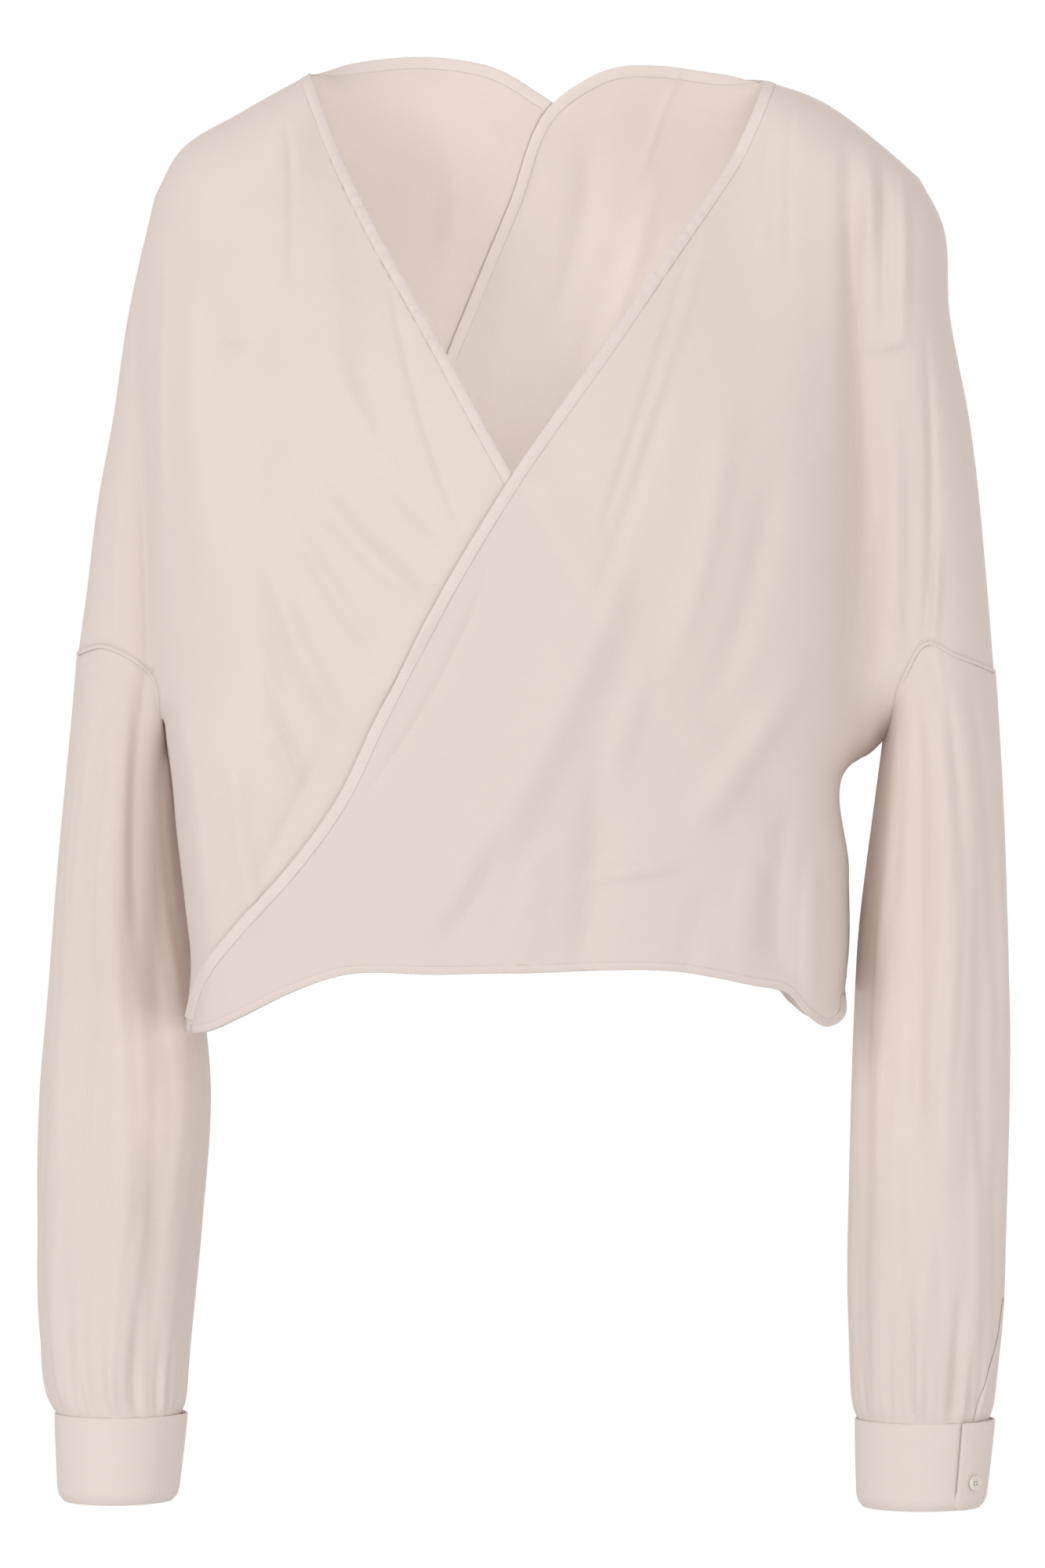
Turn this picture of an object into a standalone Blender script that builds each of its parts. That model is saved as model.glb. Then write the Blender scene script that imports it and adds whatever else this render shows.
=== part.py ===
"""Cropped wrap blouse, worn form with no wearer: crossed fronts, crossed backs, dropped sleeves, buttoned cuffs.

Millimetres in the tables, metres in the meshes. +X is the wearer's left, -Y the front, +Z up.
The origin lies between the two points where the neck edges meet on the shoulders.
"""
import math

import bpy
import numpy as np

MM = 0.001

# Driving sizes, in millimetres
WALL = 1.1              # thickness of the panel and sleeve walls
CUFF_WALL = 1.5         # doubled cloth of the cuffs
BINDING_WIDTH = 5.8
BINDING_WALL = 1.5
NECK_TURN = 0.07         # share of a wrap edge over which its binding turns to the shoulder seam
BINDING_GAP = 1.3       # clear space between a panel's edge and its binding
HAIR = 0.15             # points this close to an outline count as on it
LEFT_SEAM_STEP = 2.8    # from the panels' armhole edge to the sleeve's
RIGHT_SEAM_STEP = 2.1
SEAM_GAP = 0.35         # clear space between two sewn pieces
LAYER = 3.4             # how far an over panel lies outside the under panel
SIDE_FADE = 18.0        # an over panel comes down to the side seam within this distance
SHOULDER_ROUND = 60.0   # distance over which the torso rounds in from the shoulder line
SIDE_ROUND = 14.0       # the same at the side seams, which close the torso
ARM_ROUND = 36.0        # the same at the outer arm and underarm folds
TORSO_POWER = 2.4       # squareness of the torso's cross-section
UNION_POWER = 4.0       # how sharply torso and arm meet in the valley between them
CUFF_TOP = -668.0
CUFF_BOTTOM = -711.0
BUTTON_DIAMETER = 7.5
BUTTON_THICKNESS = 2.2
BUTTON_LIFT = 0.5       # from the curved cuff to the flat of the button

# Colours, linear
CLOTH_COLOUR = (0.75, 0.64, 0.60, 1.0)
BINDING_COLOUR = (0.76, 0.66, 0.62, 1.0)
BUTTON_COLOUR = (0.66, 0.60, 0.54, 1.0)

# Torso depth in front of and behind the middle plane: height, front, back
TORSO_DEPTH = (
    (20, 8, 57),
    (0, 14, 64),
    (-26, 24, 76),
    (-62, 49, 89),
    (-95, 69, 95),
    (-136, 92, 100),
    (-171, 106, 103),
    (-203, 113, 105),
    (-262, 118, 106),
    (-330, 116, 104),
    (-400, 110, 101),
    (-480, 103, 97),
)
# Sides of the torso's own bulge: height, wearer's right side x, wearer's left side x
TORSO_SIDES = (
    (20, -190, 172),
    (-130, -198, 164),
    (-236, -194, 160),
    (-300, -191, 160),
    (-340, -186, 159),
    (-400, -179, 159),
    (-480, -176, 158),
)
# Depth of the arm tubes of the body panels: height, wearer's right, wearer's left
ARM_DEPTH = (
    (0, 40, 44),
    (-120, 38, 48),
    (-220, 36, 48),
    (-300, 36, 46),
    (-480, 30, 30),
)

# Outlines as x, z
LEFT_SHOULDER = ((113, -2), (140, -12), (173, -36), (190, -51))
LEFT_ARM_TOP = ((190, -51), (201, -72), (205, -118), (215, -172), (224, -258), (227, -296))
LEFT_ARMHOLE = ((227, -296), (206, -289), (191, -283), (180, -299), (174, -328))
LEFT_SIDE = ((174, -328), (166, -336), (156, -342), (155, -395), (155, -434), (153, -454))
RIGHT_SHOULDER = ((-113, 1), (-147, -18), (-178, -38), (-190, -60))
RIGHT_ARM_TOP = ((-190, -60), (-203, -118), (-211, -172), (-218, -210), (-224, -258), (-228, -287))
RIGHT_ARMHOLE = ((-228, -287), (-215, -284), (-203, -288), (-190, -298), (-185, -322))
RIGHT_SIDE = ((-185, -322), (-181, -345), (-178, -375), (-174, -410), (-171, -440), (-174, -474))

FRONT_OVER_EDGE = ((113, -3), (104, -26), (96, -43), (84, -62), (62, -95), (35, -136), (-12, -204),
                   (-47, -262), (-78, -322), (-96, -359), (-120, -392), (-146, -421), (-163, -443), (-174, -474))
FRONT_UNDER_EDGE = ((-113, 1), (-106, -18), (-98, -39), (-79, -80), (-55, -124), (-38, -156), (-12, -204),
                    (22, -262), (60, -322), (100, -380), (136, -432))
BACK_UNDER_EDGE = ((113, -3), (100, 4), (85, 8), (62, 12), (38, 11), (22, 4), (8, -6), (-14, -55), (-44, -126),
                   (-80, -218), (-116, -310), (-150, -398))
BACK_OVER_EDGE = ((-113, 1), (-100, 9), (-77, 15), (-46, 16), (-18, 10), (2, -2), (8, -6), (30, -55), (59, -126),
                  (91, -218), (122, -330), (153, -448))
HEM = ((-174, -474), (-160, -472), (-144, -465), (-120, -453), (-95, -444), (-47, -443), (5, -442), (68, -442),
       (104, -449), (120, -453), (129, -463), (141, -470), (149, -466), (153, -454))

# Main folds of the body: face (-1 front, 1 back), start x, z, end x, z, half width, height (troughs are negative)
BODY_FOLDS = (
    (-1, 35, -255, -2, -352, 17, 5.0),
    (-1, -2, -352, -58, -427, 14, 4.5),
    (-1, 22, -360, 14, -430, 13, -4.5),
    (-1, -104, -240, -70, -330, 12, 4.0),
    (-1, -86, -206, -46, -262, 10, 3.2),
    (-1, -112, -300, -92, -360, 10, 3.5),
    (-1, -132, -110, -128, -235, 15, -5.0),
    (-1, -120, -15, -116, -110, 7, -3.0),
    (-1, 128, -25, 126, -95, 6, -2.5),
    (-1, 118, -300, 90, -350, 12, 3.5),
    (-1, 96, -365, 72, -395, 10, -3.0),
    (-1, 162, -60, 158, -320, 8, -5.0),
    (-1, 174, -50, 172, -150, 8, 4.0),
    (-1, 190, -120, 192, -270, 7, 3.5),
    (-1, -194, -130, -192, -290, 7, 4.0),
    (-1, 130, -380, 128, -455, 10, 4.0),
    (1, 40, -150, 20, -300, 18, 4.5),
    (1, -60, -140, -50, -300, 20, -4.5),
    (1, -110, -200, -90, -380, 14, 4.0),
    (1, 100, -180, 116, -340, 15, 4.5),
    (1, 10, -330, -20, -430, 14, -4.0),
    (1, 150, -80, 156, -300, 10, -5.0),
    (1, -150, -80, -160, -290, 10, -5.0),
    (1, 66, -350, 56, -440, 16, 2.5),
)

# Sleeve rings: height, outer x, inner x, centre y, half depth
LEFT_SLEEVE = (
    (-322, 230, 174, 0, 46),
    (-379, 233, 166, 0, 47),
    (-430, 234, 160, 1, 46),
    (-470, 235, 158, 2, 45),
    (-547, 234, 156, 2, 42),
    (-621, 231, 155, 0, 37),
    (-655, 227, 157, -1, 32),
    (-668, 225, 159, -1, 29),
)
RIGHT_SLEEVE = (
    (-316, -230, -185, 4, 38),
    (-350, -235, -181, 15, 40),
    (-391, -240, -177, 27, 41),
    (-451, -246, -170, 42, 42),
    (-510, -251, -165, 49, 43),
    (-569, -252, -169, 46, 42),
    (-627, -250, -174, 36, 38),
    (-655, -246, -177, 29, 32),
    (-668, -241, -178, 26, 29),
)
LEFT_CUFF = ((CUFF_TOP, 225, 159, -1, 28), (CUFF_BOTTOM, 220, 160, -1, 27))
RIGHT_CUFF = ((CUFF_TOP, -241, -178, 26, 28), (CUFF_BOTTOM, -239, -183, 24, 27))

# Sleeve folds: angle in degrees (0 outer, 90 front, 180 inner, 270 back), angle drift, start, end, half width, height
LEFT_SLEEVE_FOLDS = (
    (68, 4, 0.00, 0.75, 7, -3.5),
    (100, 6, 0.02, 0.60, 9, 3.0),
    (40, 0, 0.02, 0.35, 7, -3.0),
    (28, -4, 0.25, 0.75, 7, 2.5),
    (98, 0, 0.80, 1.00, 5, -3.5),
    (60, 2, 0.80, 1.00, 5, -3.2),
    (78, 14, 0.72, 1.00, 7, 2.5),
    (150, 0, 0.30, 0.90, 9, -2.5),
    (230, 5, 0.05, 0.70, 9, -3.5),
    (265, -4, 0.00, 0.80, 9, 3.0),
    (300, 4, 0.20, 0.95, 8, -3.0),
    (250, 0, 0.80, 1.00, 5, -3.2),
    (285, 0, 0.80, 1.00, 5, -3.2),
)
RIGHT_SLEEVE_FOLDS = (
    (62, 5, 0.02, 0.60, 8, -3.0),
    (90, 4, 0.10, 0.80, 9, 2.5),
    (120, 0, 0.30, 0.95, 8, -3.0),
    (40, 3, 0.45, 0.95, 8, 2.5),
    (75, 0, 0.82, 1.00, 5, -3.0),
    (110, 0, 0.82, 1.00, 5, -2.8),
    (160, 0, 0.35, 0.90, 8, -2.5),
    (230, 5, 0.05, 0.70, 9, -3.5),
    (265, -4, 0.00, 0.80, 9, 3.0),
    (300, 4, 0.20, 0.95, 8, -3.0),
    (250, 0, 0.80, 1.00, 5, -3.2),
    (285, 0, 0.80, 1.00, 5, -3.2),
)

# Cuff bands: angle of the over end, angle that the under end runs beneath it, angle of the button
LEFT_CUFF_OVERLAP = (60.0, 48.0, 43.0)
RIGHT_CUFF_OVERLAP = (230.0, 48.0, 213.0)

# Mesh density
UPPER_ROWS = 18
LOWER_ROWS = 11
BODY_COLUMNS = 15
ARM_COLUMNS = 6
SLEEVE_ROWS = 15
SLEEVE_COLUMNS = 26
CUFF_COLUMNS = 28
BINDING_STEPS = 52
BUTTON_STEPS = 16
OUTLINE_STEPS = 48


def smooth_step(start, end, value):
    """0 at start, 1 at end, with level ends."""
    t = np.clip((np.asarray(value, float) - start) / (end - start), 0.0, 1.0)
    return t * t * (3.0 - 2.0 * t)


def read_table(table, key, column):
    """Smooth curve through one column of a table, read at key (its first column, in either order)."""
    data = np.array(sorted(table), float)
    knots = data[:, 0]
    values = data[:, column]
    slopes = np.gradient(values, knots)
    key = np.clip(np.asarray(key, float), knots[0], knots[-1])
    i = np.clip(np.searchsorted(knots, key) - 1, 0, len(knots) - 2)
    span = knots[i + 1] - knots[i]
    t = (key - knots[i]) / span
    return ((1 + 2 * t) * (1 - t) ** 2 * values[i] + t * (1 - t) ** 2 * span * slopes[i]
            + t * t * (3 - 2 * t) * values[i + 1] + t * t * (t - 1) * span * slopes[i + 1])


def curve(points, share):
    """Point of the smooth curve through points, at shares of its length from 0 to 1."""
    points = np.array(points, float)
    steps = np.linalg.norm(np.diff(points, axis=0), axis=1)
    knots = np.concatenate(([0.0], np.cumsum(steps))) / steps.sum()
    share = np.clip(np.asarray(share, float), 0.0, 1.0)
    tables = [np.column_stack((knots, points[:, k])) for k in range(2)]
    return np.stack([read_table(table.tolist(), share, 1) for table in tables], axis=-1)


def curve_normal(points, share):
    """Unit direction square to the curve, to the left of its run when x is right and z is up."""
    ahead = curve(points, np.clip(np.asarray(share) + 0.004, 0, 1))
    behind = curve(points, np.clip(np.asarray(share) - 0.004, 0, 1))
    run = ahead - behind
    run /= np.linalg.norm(run, axis=-1, keepdims=True)
    return np.stack((-run[..., 1], run[..., 0]), axis=-1)


def edge_inset(wrap_edge, share, inward, width):
    """Points a width inside a wrap edge; near the neck point they swing round to lie on the shoulder seam."""
    normal = curve_normal(wrap_edge, share) * inward
    shoulder = LEFT_SHOULDER if wrap_edge[0][0] > 0 else RIGHT_SHOULDER
    along = np.array(shoulder[1], float) - np.array(shoulder[0], float)
    along /= np.linalg.norm(along)
    mix = smooth_step(NECK_TURN, 0.0, share)[..., None]
    aim = normal * (1.0 - mix) + along * mix
    aim /= np.linalg.norm(aim, axis=-1, keepdims=True)
    return curve(wrap_edge, share) + aim * width


def distance(x, z, *outlines):
    """Shortest distance from each point to the smooth outlines, less a hair so that the outline itself gives 0."""
    nearest = np.full(np.shape(x), 1e9)
    for outline in outlines:
        line = curve(outline, np.linspace(0, 1, OUTLINE_STEPS))
        for (ax, az), (bx, bz) in zip(line[:-1], line[1:]):
            dx, dz = bx - ax, bz - az
            t = np.clip(((x - ax) * dx + (z - az) * dz) / (dx * dx + dz * dz), 0.0, 1.0)
            nearest = np.minimum(nearest, np.hypot(x - ax - t * dx, z - az - t * dz))
    return np.maximum(nearest - HAIR, 0.0)


def rounding(gap, radius):
    """Quarter circle: 0 at the outline, 1 from the radius inwards."""
    t = 1.0 - np.clip(gap / radius, 0.0, 1.0)
    return np.sqrt(1.0 - t * t)


def fold_height(x, z, face):
    """Sum of the body's folds: soft ridges and troughs along straight strokes, fading at their ends."""
    total = np.zeros(np.shape(x))
    for fold_face, ax, az, bx, bz, half_width, height in BODY_FOLDS:
        if fold_face != face:
            continue
        dx, dz = bx - ax, bz - az
        along = ((x - ax) * dx + (z - az) * dz) / (dx * dx + dz * dz)
        across = ((x - ax) * dz - (z - az) * dx) / math.hypot(dx, dz)
        fade = smooth_step(-0.15, 0.3, along) * smooth_step(1.15, 0.7, along)
        total += height * fade * np.exp(-(across / half_width) ** 2)
    return total


def body_depth(x, z, face):
    """Depth of the front (-1) or back (1) away from the middle surface: torso bulge joined to the arms."""
    low = read_table(TORSO_SIDES, z, 1)
    high = read_table(TORSO_SIDES, z, 2)
    across = np.clip(np.abs(2.0 * x - low - high) / (high - low), 0.0, 1.0)
    shoulder = rounding(distance(x, z, LEFT_SHOULDER, RIGHT_SHOULDER), SHOULDER_ROUND)
    torso = read_table(TORSO_DEPTH, z, 1 if face < 0 else 2) * shoulder
    edge = distance(x, z, LEFT_SHOULDER, LEFT_ARM_TOP, LEFT_SIDE, RIGHT_SHOULDER, RIGHT_ARM_TOP, RIGHT_SIDE)
    torso = torso * (1.0 - across ** TORSO_POWER) ** (1.0 / TORSO_POWER) * rounding(edge, SIDE_ROUND)
    right_arm = read_table(ARM_DEPTH, z, 1)
    left_arm = read_table(ARM_DEPTH, z, 2)
    arm = (right_arm + (left_arm - right_arm) * smooth_step(-60, 60, x)) * rounding(edge, ARM_ROUND)
    arm = arm * smooth_step(60, 130, np.abs(x))
    joined = (torso ** UNION_POWER + arm ** UNION_POWER) ** (1.0 / UNION_POWER)
    return joined + fold_height(x, z, face) * rounding(edge, 30.0) ** 2


def middle(x, z):
    """The middle surface: level at y = 0, drawn forward at the wearer's right side below the armhole."""
    return -20.0 * smooth_step(-110, -175, x) * smooth_step(-285, -345, z)


def body_point(x, z, face, layer=0.0):
    """Points of the front or back in millimetres, moved out by layer along the surface's own normal."""
    step = 0.5
    depth = body_depth(x, z, face)
    slope_x = (body_depth(x + step, z, face) - body_depth(x - step, z, face)) / (2 * step)
    slope_z = (body_depth(x, z + step, face) - body_depth(x, z - step, face)) / (2 * step)
    length = np.sqrt(1.0 + slope_x ** 2 + slope_z ** 2)
    y = middle(x, z) + face * (depth + SEAM_GAP)
    return np.stack((x - slope_x / length * layer, y + face / length * layer, z - slope_z / length * layer), axis=-1)


def overlap_lift(x, z, under_edge, inward, seam):
    """Lift of an over panel: the full layer over the under panel, fading beyond its edge and at the side seam."""
    share = np.linspace(0, 1, 120)
    line = curve(under_edge, share)
    normal = curve_normal(under_edge, share) * inward
    offset = (x[..., None] - line[:, 0]) ** 2 + (z[..., None] - line[:, 1]) ** 2
    nearest = np.argmin(offset, axis=-1)
    signed = (x - line[nearest, 0]) * normal[nearest, 0] + (z - line[nearest, 1]) * normal[nearest, 1]
    return LAYER * smooth_step(-34.0, -5.0, signed) * smooth_step(0.0, SIDE_FADE, distance(x, z, seam))


def coons(left, right, top, bottom, s, left_t, right_t):
    """Surface between four boundary curves in the x, z plane; s runs left to right, t down each side."""
    a, b = left(left_t), right(right_t)
    c, d = top(s), bottom(s)
    s, t = s[..., None], 0.5 * (left_t + right_t)[..., None]
    corners = ((1 - s) * (1 - t) * left(np.zeros(1)) + s * (1 - t) * right(np.zeros(1))
               + (1 - s) * t * left(np.ones(1)) + s * t * right(np.ones(1)))
    return (1 - s) * a + s * b + (1 - t) * c + t * d - corners


def panel_grid(wrap_edge, shoulder, arm_top, armhole, side, hem, inward, tail_on_fold):
    """Upper and lower blocks of x, z points of one wrap panel, from its wrap edge (first column) outwards."""
    edge_share = np.linspace(0, 1, 200)
    inset = BINDING_WIDTH + BINDING_GAP
    edge = edge_inset(wrap_edge, edge_share, inward, inset)
    split_height = armhole[3][1]
    split = int(np.argmin(np.abs(edge[:, 1] - split_height) + 400.0 * (edge_share < 0.35)))
    hole_share = np.linspace(0, 1, 200)
    hole = curve(armhole, hole_share)
    hole_split = int(np.argmin(np.hypot(hole[:, 0] - armhole[3][0], hole[:, 1] - armhole[3][1])))

    def run(points, share):
        """Read a dense polyline at shares of its length."""
        steps = np.linalg.norm(np.diff(points, axis=0), axis=1)
        knots = np.concatenate(([0.0], np.cumsum(steps))) / steps.sum()
        return np.stack([np.interp(share, knots, points[:, k]) for k in range(2)], axis=-1)

    upper_edge = edge[:split + 1]
    lower_edge = edge[split:]
    across = np.stack((edge[split], hole[hole_split]))
    seam = hole[:hole_split + 1][::-1]
    dense = np.linspace(0, 1, 200)
    top_line = curve(shoulder, dense)
    beyond = np.hypot(*(top_line - top_line[0]).T) > inset + 1.0
    top_line = np.concatenate((edge[:1], top_line[beyond]))
    arm_line = curve(arm_top, dense)
    side_line = np.concatenate((hole[hole_split:], curve(side, dense)[1:]))
    hem_line = curve(hem, dense)
    if abs(hem_line[0, 0] - edge[-1, 0]) > abs(hem_line[-1, 0] - edge[-1, 0]):
        hem_line = hem_line[::-1]
    start = int(np.argmin(np.abs(hem_line[:, 0] - edge[-1, 0])))
    hem_line = np.concatenate((edge[-1:], hem_line[start + 1:]))

    columns = BODY_COLUMNS + ARM_COLUMNS
    body = np.linspace(0, 1, BODY_COLUMNS + 1) ** 1.2
    arm = np.sin(np.linspace(0, 0.5 * math.pi, ARM_COLUMNS + 1))
    share = BODY_COLUMNS / columns
    columns_s = np.concatenate((body * share, share + (1 - share) * arm[1:]))

    def bottom_line(s):
        body_part = run(across, np.clip(s / share, 0, 1))
        arm_part = run(seam, np.clip((s - share) / (1 - share), 0, 1))
        return np.where((s > share)[..., None], arm_part, body_part)

    rows = np.linspace(0, 1, UPPER_ROWS + 1)
    s, edge_t = np.meshgrid(columns_s, rows ** 1.25)
    arm_t = np.repeat((1 - np.cos(rows * 0.5 * math.pi) ** 0.9)[:, None], columns + 1, axis=1)
    upper = coons(lambda v: run(upper_edge, v), lambda v: run(arm_line, v), lambda v: run(top_line, v), bottom_line,
                  s, edge_t, arm_t)

    lower_t = np.linspace(0, 1, LOWER_ROWS + 1)
    even = body
    bunched = 0.5 - 0.5 * np.cos(even * math.pi) if tail_on_fold else np.sin(body * 0.5 * math.pi) ** 0.8
    mix = smooth_step(0.0, 0.45, lower_t)[:, None]
    s = (1 - mix) * even + mix * (0.3 * even + 0.7 * bunched)
    t = np.repeat(lower_t[:, None], BODY_COLUMNS + 1, axis=1)
    lower = coons(lambda v: run(lower_edge, v), lambda v: run(side_line, v), lambda v: run(across, v),
                  lambda v: run(hem_line, v), s, t, t)
    return upper, lower


def material(name, colour, roughness):
    """Plain finish with the piece's colour."""
    finish = bpy.data.materials.new(name)
    finish.use_nodes = True
    shader = finish.node_tree.nodes["Principled BSDF"]
    shader.inputs["Base Color"].default_value = colour
    shader.inputs["Roughness"].default_value = roughness
    shader.inputs["Metallic"].default_value = 0.0
    return finish


def surface_object(name, points, faces, wall, finish):
    """Open surface of one piece, thickened evenly to both sides by Solidify."""
    mesh = bpy.data.meshes.new(name)
    mesh.from_pydata((np.asarray(points) * MM).tolist(), [], faces)
    mesh.validate()
    mesh.shade_smooth()
    piece = bpy.data.objects.new(name, mesh)
    COLLECTION.objects.link(piece)
    mesh.materials.append(finish)
    shell = piece.modifiers.new("Wall", "SOLIDIFY")
    shell.thickness = wall * MM
    shell.offset = 0.0
    shell.use_quality_normals = True
    return piece


def grid_faces(rows, columns, first=0, closed=False, flip=False):
    """Quads of a grid of points stored row by row."""
    faces = []
    for i in range(rows - 1):
        for j in range(columns if closed else columns - 1):
            k = (j + 1) % columns
            quad = (first + i * columns + j, first + (i + 1) * columns + j,
                    first + (i + 1) * columns + k, first + i * columns + k)
            faces.append(quad[::-1] if flip else quad)
    return faces


def wrap_panel(name, face, flip, outlines, inward, over_what=None):
    """One wrap panel, its upper block reaching out along the arm and its lower block down to the hem."""
    upper, lower = panel_grid(*outlines, inward, over_what is not None)
    columns = upper.shape[1]
    points = np.concatenate((upper.reshape(-1, 2), lower[1:].reshape(-1, 2)))
    x, z = points[:, 0], points[:, 1]
    lift = overlap_lift(x, z, *over_what) if over_what else 0.0
    faces = grid_faces(UPPER_ROWS + 1, columns, flip=flip)
    last = UPPER_ROWS * columns
    first = (UPPER_ROWS + 1) * columns
    width = BODY_COLUMNS + 1
    for j in range(BODY_COLUMNS):
        quad = (last + j, first + j, first + j + 1, last + j + 1)
        faces.append(quad[::-1] if flip else quad)
    faces += grid_faces(LOWER_ROWS, width, first, flip=flip)
    return surface_object(name, body_point(x, z, face, lift), faces, WALL, material(name, CLOTH_COLOUR, 0.85))


def binding(name, face, flip, wrap_edge, inward, over_what=None, start=0.006, end=0.995):
    """Narrow folded strip along a wrap edge, thicker than the panel that it closes."""
    share = start + (end - start) * np.linspace(0, 1, BINDING_STEPS + 1) ** 1.15
    points = np.stack([edge_inset(wrap_edge, share, inward, width) for width in (0.0, BINDING_WIDTH)], axis=1)
    x, z = points[..., 0].ravel(), points[..., 1].ravel()
    lift = overlap_lift(x, z, *over_what) if over_what else 0.0
    faces = grid_faces(BINDING_STEPS + 1, 2, flip=flip)
    return surface_object(name, body_point(x, z, face, lift), faces, BINDING_WALL, material(name, BINDING_COLOUR, 0.8))


def ring_point(table, angle, height, swell=0.0):
    """Points of a sleeve or cuff at angles from its outer side, at heights, moved out by swell."""
    outer = read_table(table, height, 1)
    inner = read_table(table, height, 2)
    half = (outer - inner) / 2
    sign = np.sign(half)
    x = (outer + inner) / 2 + (half + sign * swell) * np.cos(angle)
    y = read_table(table, height, 3) - (read_table(table, height, 4) + swell) * np.sin(angle)
    return np.stack((x, y, height + 0.0 * x), axis=-1)


def armhole_loop(armhole, angle, side, step):
    """The armhole seam all round, from the body's own surface, on the sleeve's side of the seam."""
    turn = np.mod(angle, 2 * math.pi)
    share = np.where(turn <= math.pi, turn / math.pi, 2.0 - turn / math.pi)
    seam = curve(armhole, share) + curve_normal(armhole, share) * side * step
    x, z = seam[..., 0], seam[..., 1]
    front = body_point(x, z, -1)
    back = body_point(x, z, 1)
    weight = np.where(turn <= math.pi, 1.0, 0.0)[..., None]
    loop = front * weight + back * (1 - weight)
    on_fold = (np.abs(np.sin(turn)) < 1e-6)[..., None]
    return np.where(on_fold, (front + back) / 2, loop)


def sleeve(name, table, armhole, side, step, folds):
    """Full sleeve from the armhole seam down to the cuff, with its pleats and long folds."""
    angle_row = np.linspace(0, 2 * math.pi, SLEEVE_COLUMNS, endpoint=False)
    rows = np.linspace(0, 1, SLEEVE_ROWS + 1)
    rows = 0.75 * rows + 0.25 * np.sin(rows * 0.5 * math.pi)
    angle, share = np.meshgrid(angle_row, rows)
    height = table[0][0] + (CUFF_TOP + SEAM_GAP - table[0][0]) * share
    swell = np.zeros(angle.shape)
    for at, drift, start, end, half_width, lift in folds:
        centre = np.radians(at + drift * share)
        apart = np.degrees(np.abs(np.angle(np.exp(1j * (angle - centre)))))
        fade = smooth_step(start - 0.08, start + 0.1, share)
        if end < 1.0:
            fade = fade * smooth_step(end + 0.08, end - 0.1, share)
        swell += lift * fade * np.exp(-(apart / half_width / 1.4) ** 2)
    swell *= smooth_step(0.0, 0.12, share)
    tube = ring_point(table, angle, height, swell)
    loop = armhole_loop(armhole, angle, side, step)
    seat = ((1.0 - np.clip(share / 0.32, 0, 1)) ** 2)[..., None]
    points = tube * (1 - seat) + loop * seat
    faces = grid_faces(SLEEVE_ROWS + 1, SLEEVE_COLUMNS, closed=True, flip=side < 0)
    return surface_object(name, points.reshape(-1, 3), faces, WALL, material(name, CLOTH_COLOUR, 0.85))


def cuff_swell(turned, overlap):
    """Lift of the cuff band: its over end lies outside its under end."""
    return (LAYER - 0.3) * smooth_step(overlap * 1.9, overlap * 1.05, turned)


def cuff(name, table, side, over_end, overlap):
    """Cuff band that passes once round the wrist and on beneath its own over end."""
    turned = np.linspace(0, 360 + overlap, CUFF_COLUMNS + 1)
    heights = np.linspace(CUFF_TOP - SEAM_GAP, CUFF_BOTTOM, 3)
    turned, height = np.meshgrid(turned, heights)
    angle = np.radians(over_end - turned)
    points = ring_point(table, angle, height, cuff_swell(turned, overlap))
    faces = grid_faces(3, CUFF_COLUMNS + 1, flip=side > 0)
    return surface_object(name, points.reshape(-1, 3), faces, CUFF_WALL, material(name, CLOTH_COLOUR, 0.8))


def button(name, table, side, over_end, overlap, angle):
    """Turned button lying on the cuff's over end."""
    turn = math.radians(angle)
    height = CUFF_TOP - 29.0
    swell = float(cuff_swell(abs(over_end - angle), overlap))
    seat = ring_point(table, np.array([turn]), np.array([height]), swell)[0]
    half = np.abs(np.diff(table[0][1:3]))[0] / 2
    outward = np.array([side * math.cos(turn) / half, -math.sin(turn) / table[0][4], 0.0])
    outward /= np.linalg.norm(outward)
    base = seat + outward * (CUFF_WALL / 2 + BUTTON_LIFT)
    radius = BUTTON_DIAMETER / 2
    rim = 0.5
    profile = ((0.0, BUTTON_THICKNESS - 0.5), (radius - 1.3, BUTTON_THICKNESS - 0.5), (radius - 0.9, BUTTON_THICKNESS),
               (radius - 0.3, BUTTON_THICKNESS - 0.1), (radius, BUTTON_THICKNESS - rim), (radius, rim),
               (radius - 0.5, 0.0), (0.0, 0.0))
    mesh = bpy.data.meshes.new(name)
    mesh.from_pydata([(r * MM, 0.0, h * MM) for r, h in profile], [(i, i + 1) for i in range(len(profile) - 1)], [])
    piece = bpy.data.objects.new(name, mesh)
    COLLECTION.objects.link(piece)
    mesh.materials.append(material(name, BUTTON_COLOUR, 0.35))
    turning = piece.modifiers.new("Turned", "SCREW")
    turning.steps = BUTTON_STEPS
    turning.render_steps = BUTTON_STEPS
    turning.use_merge_vertices = True
    turning.merge_threshold = 0.00001
    piece.location = base * MM
    piece.rotation_euler = (0.0, math.radians(90), math.atan2(outward[1], outward[0]))
    return piece


for old in list(bpy.data.objects):
    bpy.data.objects.remove(old, do_unlink=True)
COLLECTION = bpy.data.collections.new("wrap_blouse")
bpy.context.scene.collection.children.link(COLLECTION)

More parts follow.
